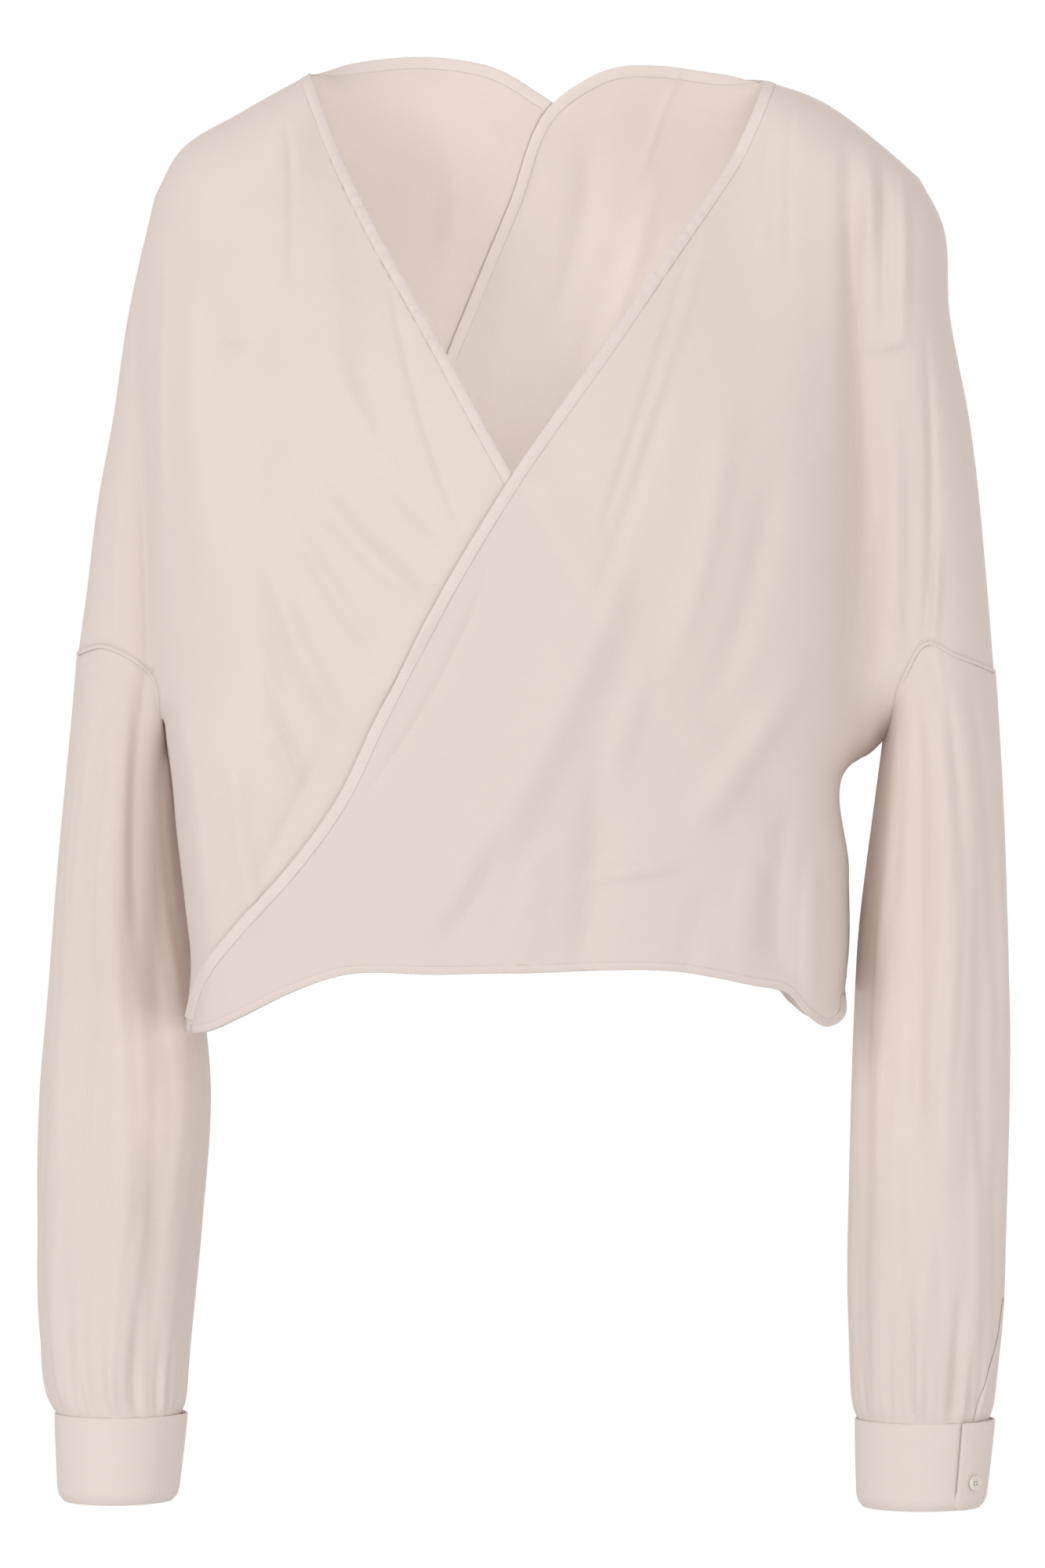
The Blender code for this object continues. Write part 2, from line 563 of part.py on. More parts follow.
left_outline = (LEFT_SHOULDER, LEFT_ARM_TOP, LEFT_ARMHOLE, LEFT_SIDE, HEM)
right_outline = (RIGHT_SHOULDER, RIGHT_ARM_TOP, RIGHT_ARMHOLE, RIGHT_SIDE, HEM)
front_over_what = (FRONT_UNDER_EDGE, -1, LEFT_SIDE)
back_over_what = (BACK_UNDER_EDGE, 1, RIGHT_SIDE)
wrap_panel("front_left_over", -1, True, (FRONT_OVER_EDGE, *left_outline), 1, front_over_what)
wrap_panel("front_right_under", -1, False, (FRONT_UNDER_EDGE, *right_outline), -1)
wrap_panel("back_right_over", 1, True, (BACK_OVER_EDGE, *right_outline), -1, back_over_what)
wrap_panel("back_left_under", 1, False, (BACK_UNDER_EDGE, *left_outline), 1)
binding("binding_front_left", -1, True, FRONT_OVER_EDGE, 1, front_over_what)
binding("binding_front_right", -1, False, FRONT_UNDER_EDGE, -1, end=0.94)
binding("binding_back_right", 1, True, BACK_OVER_EDGE, -1, back_over_what)
binding("binding_back_left", 1, False, BACK_UNDER_EDGE, 1, start=0.022)
sleeve("sleeve_left", LEFT_SLEEVE, LEFT_ARMHOLE, 1, LEFT_SEAM_STEP, LEFT_SLEEVE_FOLDS)
sleeve("sleeve_right", RIGHT_SLEEVE, RIGHT_ARMHOLE, -1, RIGHT_SEAM_STEP, RIGHT_SLEEVE_FOLDS)
cuff("cuff_left", LEFT_CUFF, 1, *LEFT_CUFF_OVERLAP[:2])
cuff("cuff_right", RIGHT_CUFF, -1, *RIGHT_CUFF_OVERLAP[:2])
button("button_left", LEFT_CUFF, 1, *LEFT_CUFF_OVERLAP)
button("button_right", RIGHT_CUFF, -1, *RIGHT_CUFF_OVERLAP)
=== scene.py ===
import math

import bpy
import numpy as np
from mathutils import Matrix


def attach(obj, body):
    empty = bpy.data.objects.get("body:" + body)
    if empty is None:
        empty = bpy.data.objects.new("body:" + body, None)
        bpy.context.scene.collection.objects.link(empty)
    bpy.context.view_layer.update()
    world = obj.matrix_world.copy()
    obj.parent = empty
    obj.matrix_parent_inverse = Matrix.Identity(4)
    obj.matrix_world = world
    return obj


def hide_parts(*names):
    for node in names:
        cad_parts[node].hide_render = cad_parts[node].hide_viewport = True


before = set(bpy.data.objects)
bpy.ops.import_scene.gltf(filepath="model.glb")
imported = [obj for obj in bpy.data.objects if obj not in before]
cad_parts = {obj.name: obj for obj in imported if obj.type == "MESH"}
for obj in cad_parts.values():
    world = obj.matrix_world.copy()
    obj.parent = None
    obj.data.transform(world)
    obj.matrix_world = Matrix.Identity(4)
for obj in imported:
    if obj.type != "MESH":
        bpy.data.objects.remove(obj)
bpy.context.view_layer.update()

# Studio: white all round, as in the photograph's cut-out, with soft light from the front and a level camera
# at the photograph's own distance. The photograph is 2000 pixels high at 0.39 mm a pixel.
MM = 0.001
FRAME_HEIGHT = 2000 * 0.39 * MM
CAMERA_DISTANCE = 3.0
CAMERA_X = -7.2 * MM
CAMERA_Z = -351.8 * MM
SENSOR = 36.0
WORLD_LIGHT = 0.735

scene = bpy.context.scene
scene.view_settings.view_transform = "Standard"
camera_data = bpy.data.cameras.new("camera")
camera_data.sensor_width = SENSOR
camera_data.lens = SENSOR * CAMERA_DISTANCE / FRAME_HEIGHT
camera_data.clip_end = 30.0
camera = bpy.data.objects.new("camera", camera_data)
camera.location = (CAMERA_X, -CAMERA_DISTANCE, CAMERA_Z)
camera.rotation_euler = (math.radians(90), 0.0, 0.0)
scene.collection.objects.link(camera)
scene.camera = camera


def feed(tree, node, inputs):
    """Give inputs of a node, by name or number, a value or the socket that feeds them."""
    for name, value in inputs.items():
        if isinstance(value, bpy.types.NodeSocket):
            tree.links.new(value, node.inputs[name])
        elif value is not None:
            node.inputs[name].default_value = value
    return node


def add_node(tree, kind, inputs):
    """New shader node, with its inputs fed."""
    return feed(tree, tree.nodes.new("ShaderNode" + kind), inputs)


WHITE = (1.0, 1.0, 1.0, 1.0)
world = bpy.data.worlds.new("studio")
world.use_nodes = True
world_tree = world.node_tree
world_light = feed(world_tree, world_tree.nodes["Background"], {"Color": WHITE, "Strength": WORLD_LIGHT})
world_seen = add_node(world_tree, "Background", {"Color": WHITE})
world_path = add_node(world_tree, "LightPath", {})
world_mix = add_node(world_tree, "MixShader", {
    0: world_path.outputs["Is Camera Ray"], 1: world_light.outputs[0], 2: world_seen.outputs[0]})
feed(world_tree, world_tree.nodes["World Output"], {"Surface": world_mix.outputs[0]})
scene.world = world


def area_light(name, place, aim, size, power, colour=(1.0, 1.0, 1.0)):
    """Square soft light at place, turned to face aim."""
    data = bpy.data.lights.new(name, "AREA")
    data.size = size
    data.energy = power
    data.color = colour
    light = bpy.data.objects.new(name, data)
    light.location = place
    light.visible_camera = False
    away = np.subtract(place, aim)
    tilt = math.atan2(math.hypot(away[0], away[1]), away[2])
    light.rotation_euler = (tilt, 0.0, math.atan2(away[0], -away[1]))
    scene.collection.objects.link(light)


area_light("key", (-2.2, -2.8, 0.9), (0.0, 0.0, -0.35), 1.2, 40.0)
area_light("fill", (2.0, -2.6, -0.9), (0.0, 0.0, -0.5), 2.0, 23.0)
area_light("low", (-2.0, -2.2, -1.4), (0.0, 0.0, -0.5), 2.0, 9.0)
area_light("top", (0.0, 0.3, 1.9), (0.0, 0.0, -0.3), 1.4, 2.0)
area_light("back", (0.6, 2.4, 0.6), (0.0, 0.0, -0.35), 1.6, 14.0)

# Light that comes through the sheer cloth is stood for by a soft lamp inside the body and a tall one in
# each sleeve, which faces the body.
lamp_data = bpy.data.lights.new("inside", "POINT")
lamp_data.energy = 0.42
lamp_data.color = (0.88, 0.97, 1.0)
lamp_data.shadow_soft_size = 0.07
lamp_object = bpy.data.objects.new("inside", lamp_data)
lamp_object.location = (-0.01, -0.02, -0.145)
lamp_object.visible_camera = False
scene.collection.objects.link(lamp_object)
for lamp, place, aim in (("inside_left", (0.186, -0.006, -0.43), (0.150, -0.024, -0.43)),
                         ("inside_right", (-0.202, 0.022, -0.42), (-0.168, 0.002, -0.42))):
    area_light(lamp, place, aim, 0.018, 0.10, (0.80, 0.93, 1.0))
    bpy.data.lights[lamp].shape = "RECTANGLE"
    bpy.data.lights[lamp].size_y = 0.24

# Right front, the under wrap panel: one piece of pale voile from shoulder to hem, cut in one with the upper
# arm. Its diagonal edge crosses the chest and runs on beneath the left front. This section also holds the
# worn form that every body piece lies on: a torso bulge that meets the arm tubes in a soft valley. Lengths
# are in millimetres until cloth_piece writes them.
SHELL = 0.45            # thickness given to the single cloth
LAYER = 1.7             # an over panel lies this far outside an under panel
LAP_START = -26.0       # it starts to rise this far outside the under panel's edge
LAP_FULL = -3.0         # and has risen a whole layer this far outside it
SIDE_FADE = 14.0        # it comes down to its side seam within this distance
HALF_SEAM = 0.12        # half of the space between front and back at a seam
HAIR = 0.15             # points this near an outline count as on it
OUTLINE_POINTS = 40
EDGE_POINTS = 160       # points on an under panel's edge that an over panel's lift is measured from
STROKE_POINTS = 9
STROKE_REACH = 3.2      # a fold is left out beyond this many half widths
FOLD_FADE = 30.0        # folds sink away within this distance of an outline
ARM_START = 60.0        # distance from the middle where the arm tubes begin
ARM_FULL = 130.0        # and where they are whole
DRAWN_FORWARD = 20.0
DENSE = 240             # points on a boundary that is read by shares of its length
TORSO_POWER = 2.4
UNION_POWER = 4.0
SHOULDER_ROUND = 60.0
SIDE_ROUND = 14.0
ARM_ROUND = 36.0
BINDING_WIDTH = 5.8     # as it shows on one side
NECK_TURN = 0.07        # share of a wrap edge over which its binding swings round at the neck point

# Torso depth before and behind the middle: height, front, back
TORSO_DEPTH = ((20, 8, 57), (0, 14, 64), (-26, 24, 76), (-62, 49, 89), (-95, 69, 95), (-136, 92, 100),
               (-171, 106, 103), (-203, 113, 105), (-262, 118, 106), (-330, 116, 104), (-400, 110, 101),
               (-480, 103, 97))
# Sides of the torso bulge: height, wearer's right, wearer's left
TORSO_SIDES = ((20, -190, 172), (-130, -198, 164), (-236, -194, 160), (-300, -191, 160), (-340, -186, 159),
               (-400, -179, 159), (-480, -176, 158))
# Depth of the arm tubes: height, wearer's right, wearer's left
ARM_DEPTH = ((0, 40, 44), (-120, 38, 48), (-220, 36, 48), (-300, 36, 46), (-480, 30, 30))
# Outlines as x, z
LEFT_SHOULDER = ((113, -2), (140, -12), (173, -36), (190, -51))
LEFT_ARM_TOP = ((190, -51), (201, -72), (205, -118), (215, -172), (224, -258), (227, -296))
LEFT_ARMHOLE = ((227, -296), (206, -289), (191, -283), (180, -299), (174, -328))
LEFT_SIDE = ((174, -328), (166, -336), (156, -342), (155, -395), (155, -434), (153, -454))
RIGHT_SHOULDER = ((-113, 1), (-147, -18), (-178, -38), (-190, -60))
RIGHT_ARM_TOP = ((-190, -60), (-203, -118), (-211, -172), (-218, -210), (-224, -258), (-228, -287))
RIGHT_ARMHOLE = ((-228, -287), (-215, -284), (-203, -288), (-190, -298), (-185, -322))
RIGHT_SIDE = ((-185, -322), (-181, -345), (-178, -375), (-174, -410), (-171, -440), (-174, -474))
FRONT_UNDER_EDGE = ((-113, 1), (-106, -18), (-98, -39), (-79, -80), (-55, -124), (-38, -156), (-12, -204),
                    (22, -262), (60, -322), (100, -380), (136, -432))
HEM = ((-174, -474), (-160, -472), (-144, -465), (-120, -453), (-95, -444), (-47, -443), (5, -442),
       (68, -442), (104, -449), (120, -453), (129, -463), (141, -470), (149, -466), (153, -454))

# Folds: start x, z, middle x, z, end x, z, half width, height (below 0 for a trough)
FRONT_FOLDS = (
    (-124, -24, -120, -65, -121, -122, 2.3, -1.2), (126, -19, 123, -54, 123, -100, 2.3, -1.2),
    (114, -28, 112, -62, 109, -97, 3.4, 1.1), (-134, -100, -138, -168, -133, -245, 15.3, -6.1),
    (-164, -82, -167, -152, -163, -236, 10.8, 4.3), (-105, -63, -99, -124, -101, -185, 9.9, 3.2),
    (-129, -246, -114, -287, -93, -325, 5.7, 4.3), (-108, -209, -83, -239, -55, -265, 5.7, 3.8),
    (-131, -306, -121, -333, -112, -356, 4.9, 3.8), (-119, -223, -97, -261, -70, -295, 4.5, -3.2),
    (-134, -276, -126, -310, -114, -342, 4.2, -2.9), (-87, -186, -66, -213, -42, -235, 4.5, -2.2),
    (-72, -104, -57, -171, -36, -231, 2.3, -1.4), (-97, -144, -81, -186, -63, -216, 5.3, 1.9),
    (39, -239, 5, -329, -47, -416, 12, 6.7), (32, -344, 27, -397, 21, -444, 9, -5.8),
    (22, -398, 45, -393, 67, -391, 3.8, 2.2), (124, -303, 98, -342, 75, -371, 7.5, 4.3),
    (-17, -367, -28, -401, -47, -431, 5.3, -2.9), (2, -382, -4, -412, -8, -442, 4.9, 2.9),
    (73, -99, 53, -163, 28, -239, 2.3, -1.5), (83, -88, 62, -148, 41, -220, 3.4, 1.4),
    (62, -164, 43, -220, 19, -292, 5.3, -2.4), (113, -201, 102, -261, 81, -316, 7.6, -2.4),
    (92, -171, 81, -239, 62, -299, 6.8, 2.2), (50, -299, 39, -337, 32, -374, 5.3, 2.4),
    (136, -386, 132, -424, 134, -463, 4.2, 3.8), (120, -367, 114, -409, 117, -445, 4.9, -3.5),
    (104, -390, 100, -416, 99, -443, 4.5, 2.2), (81, -401, 75, -423, 70, -442, 4.5, -1.9),
    (153, -46, 154, -182, 150, -333, 5.4, -7.2), (163, -40, 163, -67, 162, -96, 3.1, 2.4),
    (170, -44, 170, -79, 169, -129, 2.7, -2.4), (179, -44, 180, -82, 179, -132, 3.1, 2.4),
    (173, -167, 175, -229, 172, -298, 5.4, 3.5), (191, -136, 193, -217, 190, -283, 2.3, -2.9),
    (196, -236, 195, -263, 193, -283, 2.3, 1.9), (164, -213, 163, -259, 161, -313, 3.1, -1.9),
    (-194, -132, -192, -213, -190, -294, 2.3, -2.2), (-182, -82, -184, -159, -181, -259, 3.9, 2.2),
    (-203, -174, -207, -228, -208, -282, 3.5, 1.6), (-202, -130, -197, -131, -193, -132, 1.2, -1.2),
    (-155, -138, -145, -137, -135, -136, 1.1, -1.2), (156, -142, 173, -139, 190, -136, 1.5, -1.6),
    (-184, -302, -175, -379, -165, -448, 3.8, -2.4), (-147, -337, -142, -386, -135, -424, 4.9, 2.4),
    (-99, -325, -114, -359, -134, -397, 4.2, -2.2), (-174, -314, -167, -359, -162, -402, 3.8, 2.2),
    (-47, -261, -62, -288, -81, -314, 3.8, 2.2), (-25, -254, -47, -303, -81, -356, 2.6, -1.4),
)
BACK_FOLDS = (
    (-35, 4, -25, -10, -17, -31, 1.6, -0.9), (73, 9, 66, -6, 53, -41, 1.6, -0.9),
    (6, -26, -12, -66, -34, -110, 4.8, 1.4), (-50, -10, -42, -54, -50, -110, 6.4, -1.6),
    (30, -13, 22, -70, 6, -122, 7.2, 1.8), (59, -46, 47, -94, 22, -150, 5.6, -1.4),
    (40, -150, 36, -220, 20, -300, 18, 4.5), (-60, -140, -58, -220, -50, -300, 20, -4.5),
    (-110, -200, -104, -290, -90, -380, 14, 4), (100, -180, 112, -260, 116, -340, 15, 4.5),
    (10, -330, -2, -380, -20, -430, 14, -4), (150, -80, 156, -190, 156, -300, 10, -5),
    (-150, -80, -158, -190, -160, -290, 10, -5), (66, -350, 64, -400, 56, -440, 14, 3),
    (118, -40, 122, -90, 120, -150, 3, -1), (-120, -36, -124, -90, -122, -150, 3, -1),
    (132, -130, 138, -220, 134, -300, 9, 2.6), (-134, -130, -138, -220, -140, -300, 9, 2.6),
    (80, -250, 92, -310, 96, -380, 7, -2), (-78, -250, -84, -320, -80, -390, 8, -2),
    (30, -90, 26, -160, 10, -230, 9, 1.6), (-30, -110, -34, -190, -26, -260, 8, 1.6),
    (175, -100, 180, -190, 182, -280, 6, 2.2), (-178, -100, -184, -190, -188, -270, 6, 2.2),
    (190, -130, 198, -210, 202, -280, 4, -1.6), (-192, -130, -199, -210, -202, -270, 4, -1.6),
    (-40, -350, -46, -400, -52, -438, 9, 2.4), (100, -370, 98, -410, 92, -445, 8, -2.2),
    (-120, -360, -124, -410, -126, -450, 8, -2.2), (-150, -380, -150, -420, -150, -460, 6, 2.2),
    (134, -380, 134, -420, 136, -458, 6, 2.2),
)


def smooth_step(start, end, value):
    """0 at start, 1 at end, with level ends: three times t squared less twice t cubed."""
    t = np.clip((np.asarray(value, float) - start) / (end - start), 0.0, 1.0)
    return t * t * (3.0 - 2.0 * t)


def read_table(table, key, column):
    """Hermite curve through one column of a table, with slopes from the neighbouring rows."""
    data = np.array(sorted(table), float)
    knots, values = data[:, 0], data[:, column]
    slopes = np.gradient(values, knots)
    key = np.clip(np.asarray(key, float), knots[0], knots[-1])
    i = np.clip(np.searchsorted(knots, key) - 1, 0, len(knots) - 2)
    span = knots[i + 1] - knots[i]
    t = (key - knots[i]) / span
    return ((1 + 2 * t) * (1 - t) ** 2 * values[i] + t * (1 - t) ** 2 * span * slopes[i]
            + t * t * (3 - 2 * t) * values[i + 1] + t * t * (t - 1) * span * slopes[i + 1])


def curve(points, share):
    """Point of the smooth curve through points, at shares of its length from 0 to 1."""
    points = np.array(points, float)
    steps = np.linalg.norm(np.diff(points, axis=0), axis=1)
    knots = np.concatenate(([0.0], np.cumsum(steps))) / steps.sum()
    share = np.clip(np.asarray(share, float), 0.0, 1.0)
    tables = [np.column_stack((knots, points[:, k])).tolist() for k in range(points.shape[1])]
    return np.stack([read_table(table, share, 1) for table in tables], axis=-1)


def curve_normal(points, share):
    """Unit direction square to the curve, to the left of its run when x is right and z is up."""
    run = curve(points, np.asarray(share) + 0.004) - curve(points, np.asarray(share) - 0.004)
    run /= np.linalg.norm(run, axis=-1, keepdims=True)
    return np.stack((-run[..., 1], run[..., 0]), axis=-1)


def edge_inset(wrap_edge, share, inward, width):
    """Points a width inside a wrap edge; near the neck point they swing round onto the shoulder seam."""
    shoulder = LEFT_SHOULDER if wrap_edge[0][0] > 0 else RIGHT_SHOULDER
    along = np.subtract(shoulder[1], shoulder[0]) / np.linalg.norm(np.subtract(shoulder[1], shoulder[0]))
    mix = smooth_step(NECK_TURN, 0.0, share)[..., None]
    aim = curve_normal(wrap_edge, share) * inward * (1.0 - mix) + along * mix
    aim /= np.linalg.norm(aim, axis=-1, keepdims=True)
    return curve(wrap_edge, share) + aim * np.asarray(width)[..., None]


def distance(x, z, *outlines):
    """Shortest distance from each point to the smooth outlines, less a hair so that the outline gives 0."""
    nearest = np.full(np.shape(x), 1e9)
    for outline in outlines:
        line = curve(outline, np.linspace(0, 1, OUTLINE_POINTS))
        for (ax, az), (bx, bz) in zip(line[:-1], line[1:]):
            dx, dz = bx - ax, bz - az
            t = np.clip(((x - ax) * dx + (z - az) * dz) / (dx * dx + dz * dz), 0.0, 1.0)
            nearest = np.minimum(nearest, (x - ax - t * dx) ** 2 + (z - az - t * dz) ** 2)
    return np.maximum(np.sqrt(nearest) - HAIR, 0.0)


def rounding(gap, radius):
    """Quarter circle: 0 at the outline, 1 from the radius inwards."""
    t = 1.0 - np.clip(gap / radius, 0.0, 1.0)
    return np.sqrt(1.0 - t * t)


def stroke_height(x, z, strokes):
    """Sum of soft ridges along bent strokes: a bell across each stroke, fading in and out along it."""
    total = np.zeros(np.shape(x))
    for ax, az, mx, mz, bx, bz, half_width, height in strokes:
        t = np.linspace(0, 1, STROKE_POINTS)[:, None]
        middle_point = 2.0 * np.array((mx, mz)) - 0.5 * np.array((ax + bx, az + bz))
        line = (1 - t) ** 2 * (ax, az) + 2 * t * (1 - t) * middle_point + t * t * np.array((bx, bz))
        reach = STROKE_REACH * half_width
        near = ((x > line[:, 0].min() - reach) & (x < line[:, 0].max() + reach)
                & (z > line[:, 1].min() - reach) & (z < line[:, 1].max() + reach))
        if not near.any():
            continue
        px, pz = x[near], z[near]
        best = np.full(px.shape, 1e9)
        along = np.zeros(px.shape)
        for k, ((cx, cz), (ex, ez)) in enumerate(zip(line[:-1], line[1:])):
            dx, dz = ex - cx, ez - cz
            raw = ((px - cx) * dx + (pz - cz) * dz) / (dx * dx + dz * dz)
            low = -9.0 if k == 0 else 0.0
            high = 9.0 if k == len(line) - 2 else 1.0
            s = np.clip(raw, low, high)
            gap = (px - cx - s * dx) ** 2 + (pz - cz - s * dz) ** 2
            better = gap < best
            best = np.where(better, gap, best)
            along = np.where(better, (k + s) / (len(line) - 1), along)
        fade = smooth_step(-0.15, 0.3, along) * smooth_step(1.15, 0.7, along)
        total[near] += height * fade * np.exp(-best / half_width ** 2)
    return total


def body_depth(x, z, face):
    """Depth of the front (-1) or back (1): torso bulge and arm tubes in a fourth-power sum, plus folds."""
    low, high = read_table(TORSO_SIDES, z, 1), read_table(TORSO_SIDES, z, 2)
    across = np.clip(np.abs(2.0 * x - low - high) / (high - low), 0.0, 1.0)
    shoulder = rounding(distance(x, z, LEFT_SHOULDER, RIGHT_SHOULDER), SHOULDER_ROUND)
    edge = distance(x, z, LEFT_SHOULDER, LEFT_ARM_TOP, LEFT_SIDE, RIGHT_SHOULDER, RIGHT_ARM_TOP, RIGHT_SIDE)
    torso = read_table(TORSO_DEPTH, z, 1 if face < 0 else 2) * shoulder
    torso = torso * (1.0 - across ** TORSO_POWER) ** (1.0 / TORSO_POWER) * rounding(edge, SIDE_ROUND)
    right_arm, left_arm = read_table(ARM_DEPTH, z, 1), read_table(ARM_DEPTH, z, 2)
    arm = right_arm + (left_arm - right_arm) * smooth_step(-ARM_START, ARM_START, x)
    arm = arm * rounding(edge, ARM_ROUND)
    arm = arm * smooth_step(ARM_START, ARM_FULL, np.abs(x))
    joined = (torso ** UNION_POWER + arm ** UNION_POWER) ** (1.0 / UNION_POWER)
    folds = stroke_height(x, z, FRONT_FOLDS if face < 0 else BACK_FOLDS)
    return joined + folds * rounding(edge, FOLD_FADE) ** 2


def middle(x, z):
    """The middle surface: level, but drawn forward at the wearer's right side below the armhole."""
    return -DRAWN_FORWARD * smooth_step(-110, -175, x) * smooth_step(-285, -345, z)


def body_point(x, z, face, out=0.0):
    """Points of the front or back, in millimetres, moved out along the surface's own normal."""
    step = 0.5
    depth = body_depth(x, z, face)
    slope_x = (body_depth(x + step, z, face) - body_depth(x - step, z, face)) / (2 * step)
    slope_z = (body_depth(x, z + step, face) - body_depth(x, z - step, face)) / (2 * step)
    length = np.sqrt(1.0 + slope_x ** 2 + slope_z ** 2)
    y = middle(x, z) + face * (depth + HALF_SEAM)
    return np.stack((x - slope_x / length * out, y + face / length * out, z - slope_z / length * out),
                    axis=-1)


def overlap_lift(x, z, under_edge, inward, seam):
    """Lift of an over panel: one layer over the under panel, fading beyond its edge and at the side seam."""
    share = np.linspace(0, 1, EDGE_POINTS)
    line, normal = curve(under_edge, share), curve_normal(under_edge, share) * inward
    signed = np.zeros(np.shape(x))
    best = np.full(np.shape(x), 1e9)
    for (px, pz), (nx, nz) in zip(line, normal):
        gap = (x - px) ** 2 + (z - pz) ** 2
        better = gap < best
        best = np.where(better, gap, best)
        signed = np.where(better, (x - px) * nx + (z - pz) * nz, signed)
    seam_fade = smooth_step(0.0, SIDE_FADE, distance(x, z, seam))
    return LAYER * smooth_step(LAP_START, LAP_FULL, signed) * seam_fade


def coons(left, right, top, bottom, s, left_t, right_t):
    """Surface between four boundary curves in the x, z plane; s runs left to right, t down each side."""
    t = 0.5 * (left_t + right_t)[..., None]
    edges = (1 - s[..., None]) * left(left_t) + s[..., None] * right(right_t)
    ends = (1 - t) * top(s) + t * bottom(s)
    s = s[..., None]
    corners = ((1 - s) * (1 - t) * left(np.zeros(1)) + s * (1 - t) * right(np.zeros(1))
               + (1 - s) * t * left(np.ones(1)) + s * t * right(np.ones(1)))
    return edges + ends - corners


def along_line(line, share):
    """Read a dense polyline at shares of its length."""
    steps = np.linalg.norm(np.diff(line, axis=0), axis=1)
    knots = np.concatenate(([0.0], np.cumsum(steps))) / steps.sum()
    return np.stack([np.interp(share, knots, line[:, k]) for k in range(line.shape[1])], axis=-1)


UPPER_ROWS, LOWER_ROWS, BODY_COLUMNS, ARM_COLUMNS = 118, 80, 88, 44


def panel_grid(wrap_edge, shoulder, arm_top, armhole, side, hem, inward, tail_on_fold):
    """x, z points of a wrap panel: an upper block out along the arm and a lower block down to the hem."""
    dense = np.linspace(0, 1, DENSE)
    inset = 0.6 * BINDING_WIDTH
    edge = edge_inset(wrap_edge, dense, inward, np.full(DENSE, inset))
    split = int(np.argmin(np.abs(edge[:, 1] - armhole[3][1]) + 400.0 * (dense < 0.35)))
    hole = curve(armhole, dense)
    hole_split = int(np.argmin(np.hypot(hole[:, 0] - armhole[3][0], hole[:, 1] - armhole[3][1])))
    across, seam = np.stack((edge[split], hole[hole_split])), hole[:hole_split + 1][::-1]
    top_line = curve(shoulder, dense)
    top_line = np.concatenate((edge[:1], top_line[np.hypot(*(top_line - top_line[0]).T) > inset + 1.0]))
    side_line = np.concatenate((hole[hole_split:], curve(side, dense)[1:]))
    hem_line = curve(hem, dense)
    if abs(hem_line[0, 0] - edge[-1, 0]) > abs(hem_line[-1, 0] - edge[-1, 0]):
        hem_line = hem_line[::-1]
    start = int(np.argmin(np.abs(hem_line[:, 0] - edge[-1, 0])))
    hem_line = np.concatenate((edge[-1:], hem_line[start + 1:]))

    columns = BODY_COLUMNS + ARM_COLUMNS
    share = BODY_COLUMNS / columns
    body = np.linspace(0, 1, BODY_COLUMNS + 1) ** 1.2
    arm = np.sin(np.linspace(0, 0.5 * math.pi, ARM_COLUMNS + 1))
    rows = np.linspace(0, 1, UPPER_ROWS + 1)
    s, edge_t = np.meshgrid(np.concatenate((body * share, share + (1 - share) * arm[1:])), rows ** 1.25)
    arm_t = np.repeat((1 - np.cos(rows * 0.5 * math.pi) ** 0.9)[:, None], columns + 1, axis=1)
    upper = coons(lambda v: along_line(edge[:split + 1], v), lambda v: along_line(curve(arm_top, dense), v),
                  lambda v: along_line(top_line, v),
                  lambda v: np.where((v > share)[..., None], along_line(seam, (v - share) / (1 - share)),
                                     along_line(across, v / share)), s, edge_t, arm_t)
    t = np.repeat(np.linspace(0, 1, LOWER_ROWS + 1)[:, None], BODY_COLUMNS + 1, axis=1)
    bunched = 0.5 - 0.5 * np.cos(body * math.pi) if tail_on_fold else np.sin(body * 0.5 * math.pi) ** 0.8
    mix = smooth_step(0.0, 0.45, t)
    lower = coons(lambda v: along_line(edge[split:], v), lambda v: along_line(side_line, v),
                  lambda v: along_line(across, v), lambda v: along_line(hem_line, v),
                  body * (1 - mix) + (0.3 * body + 0.7 * bunched) * mix, t, t)
    return upper, lower


def grid_quads(rows, columns, first=0, closed=False, flip=False):
    """Quads of a grid of points stored row by row, as an array."""
    i, j = np.meshgrid(np.arange(rows - 1), np.arange(columns if closed else columns - 1), indexing="ij")
    k = (j + 1) % columns
    row, below = i * columns, (i + 1) * columns
    quads = np.stack((row + j, below + j, below + k, row + k), axis=-1)
    quads = quads.reshape(-1, 4) + first
    return quads[:, ::-1] if flip else quads


def cloth_piece(name, points, quads, finish, shell=SHELL, metres=None):
    """Single cloth as a mesh with its own measure as UVs, thickened to both sides, riding on the part."""
    metres = (measured(points) if metres is None else metres).reshape(-1, 2)
    mesh = bpy.data.meshes.new(name)
    mesh.vertices.add(points.size // 3)
    mesh.vertices.foreach_set("co", (points * MM).astype(np.float32).ravel())
    mesh.loops.add(4 * len(quads))
    mesh.loops.foreach_set("vertex_index", quads.astype(np.int32).ravel())
    mesh.polygons.add(len(quads))
    mesh.polygons.foreach_set("loop_start", np.arange(0, 4 * len(quads), 4, dtype=np.int32))
    mesh.update(calc_edges=True)
    uv = mesh.uv_layers.new(name="cloth")
    uv.data.foreach_set("uv", metres[quads.ravel()].astype(np.float32).ravel())
    mesh.validate()
    mesh.shade_smooth()
    mesh.materials.append(finish)
    piece = bpy.data.objects.new(name, mesh)
    scene.collection.objects.link(piece)
    if shell:
        wall = piece.modifiers.new("Wall", "SOLIDIFY")
        wall.thickness = shell * MM
        wall.offset = 0.0
    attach(piece, "root")
    return piece


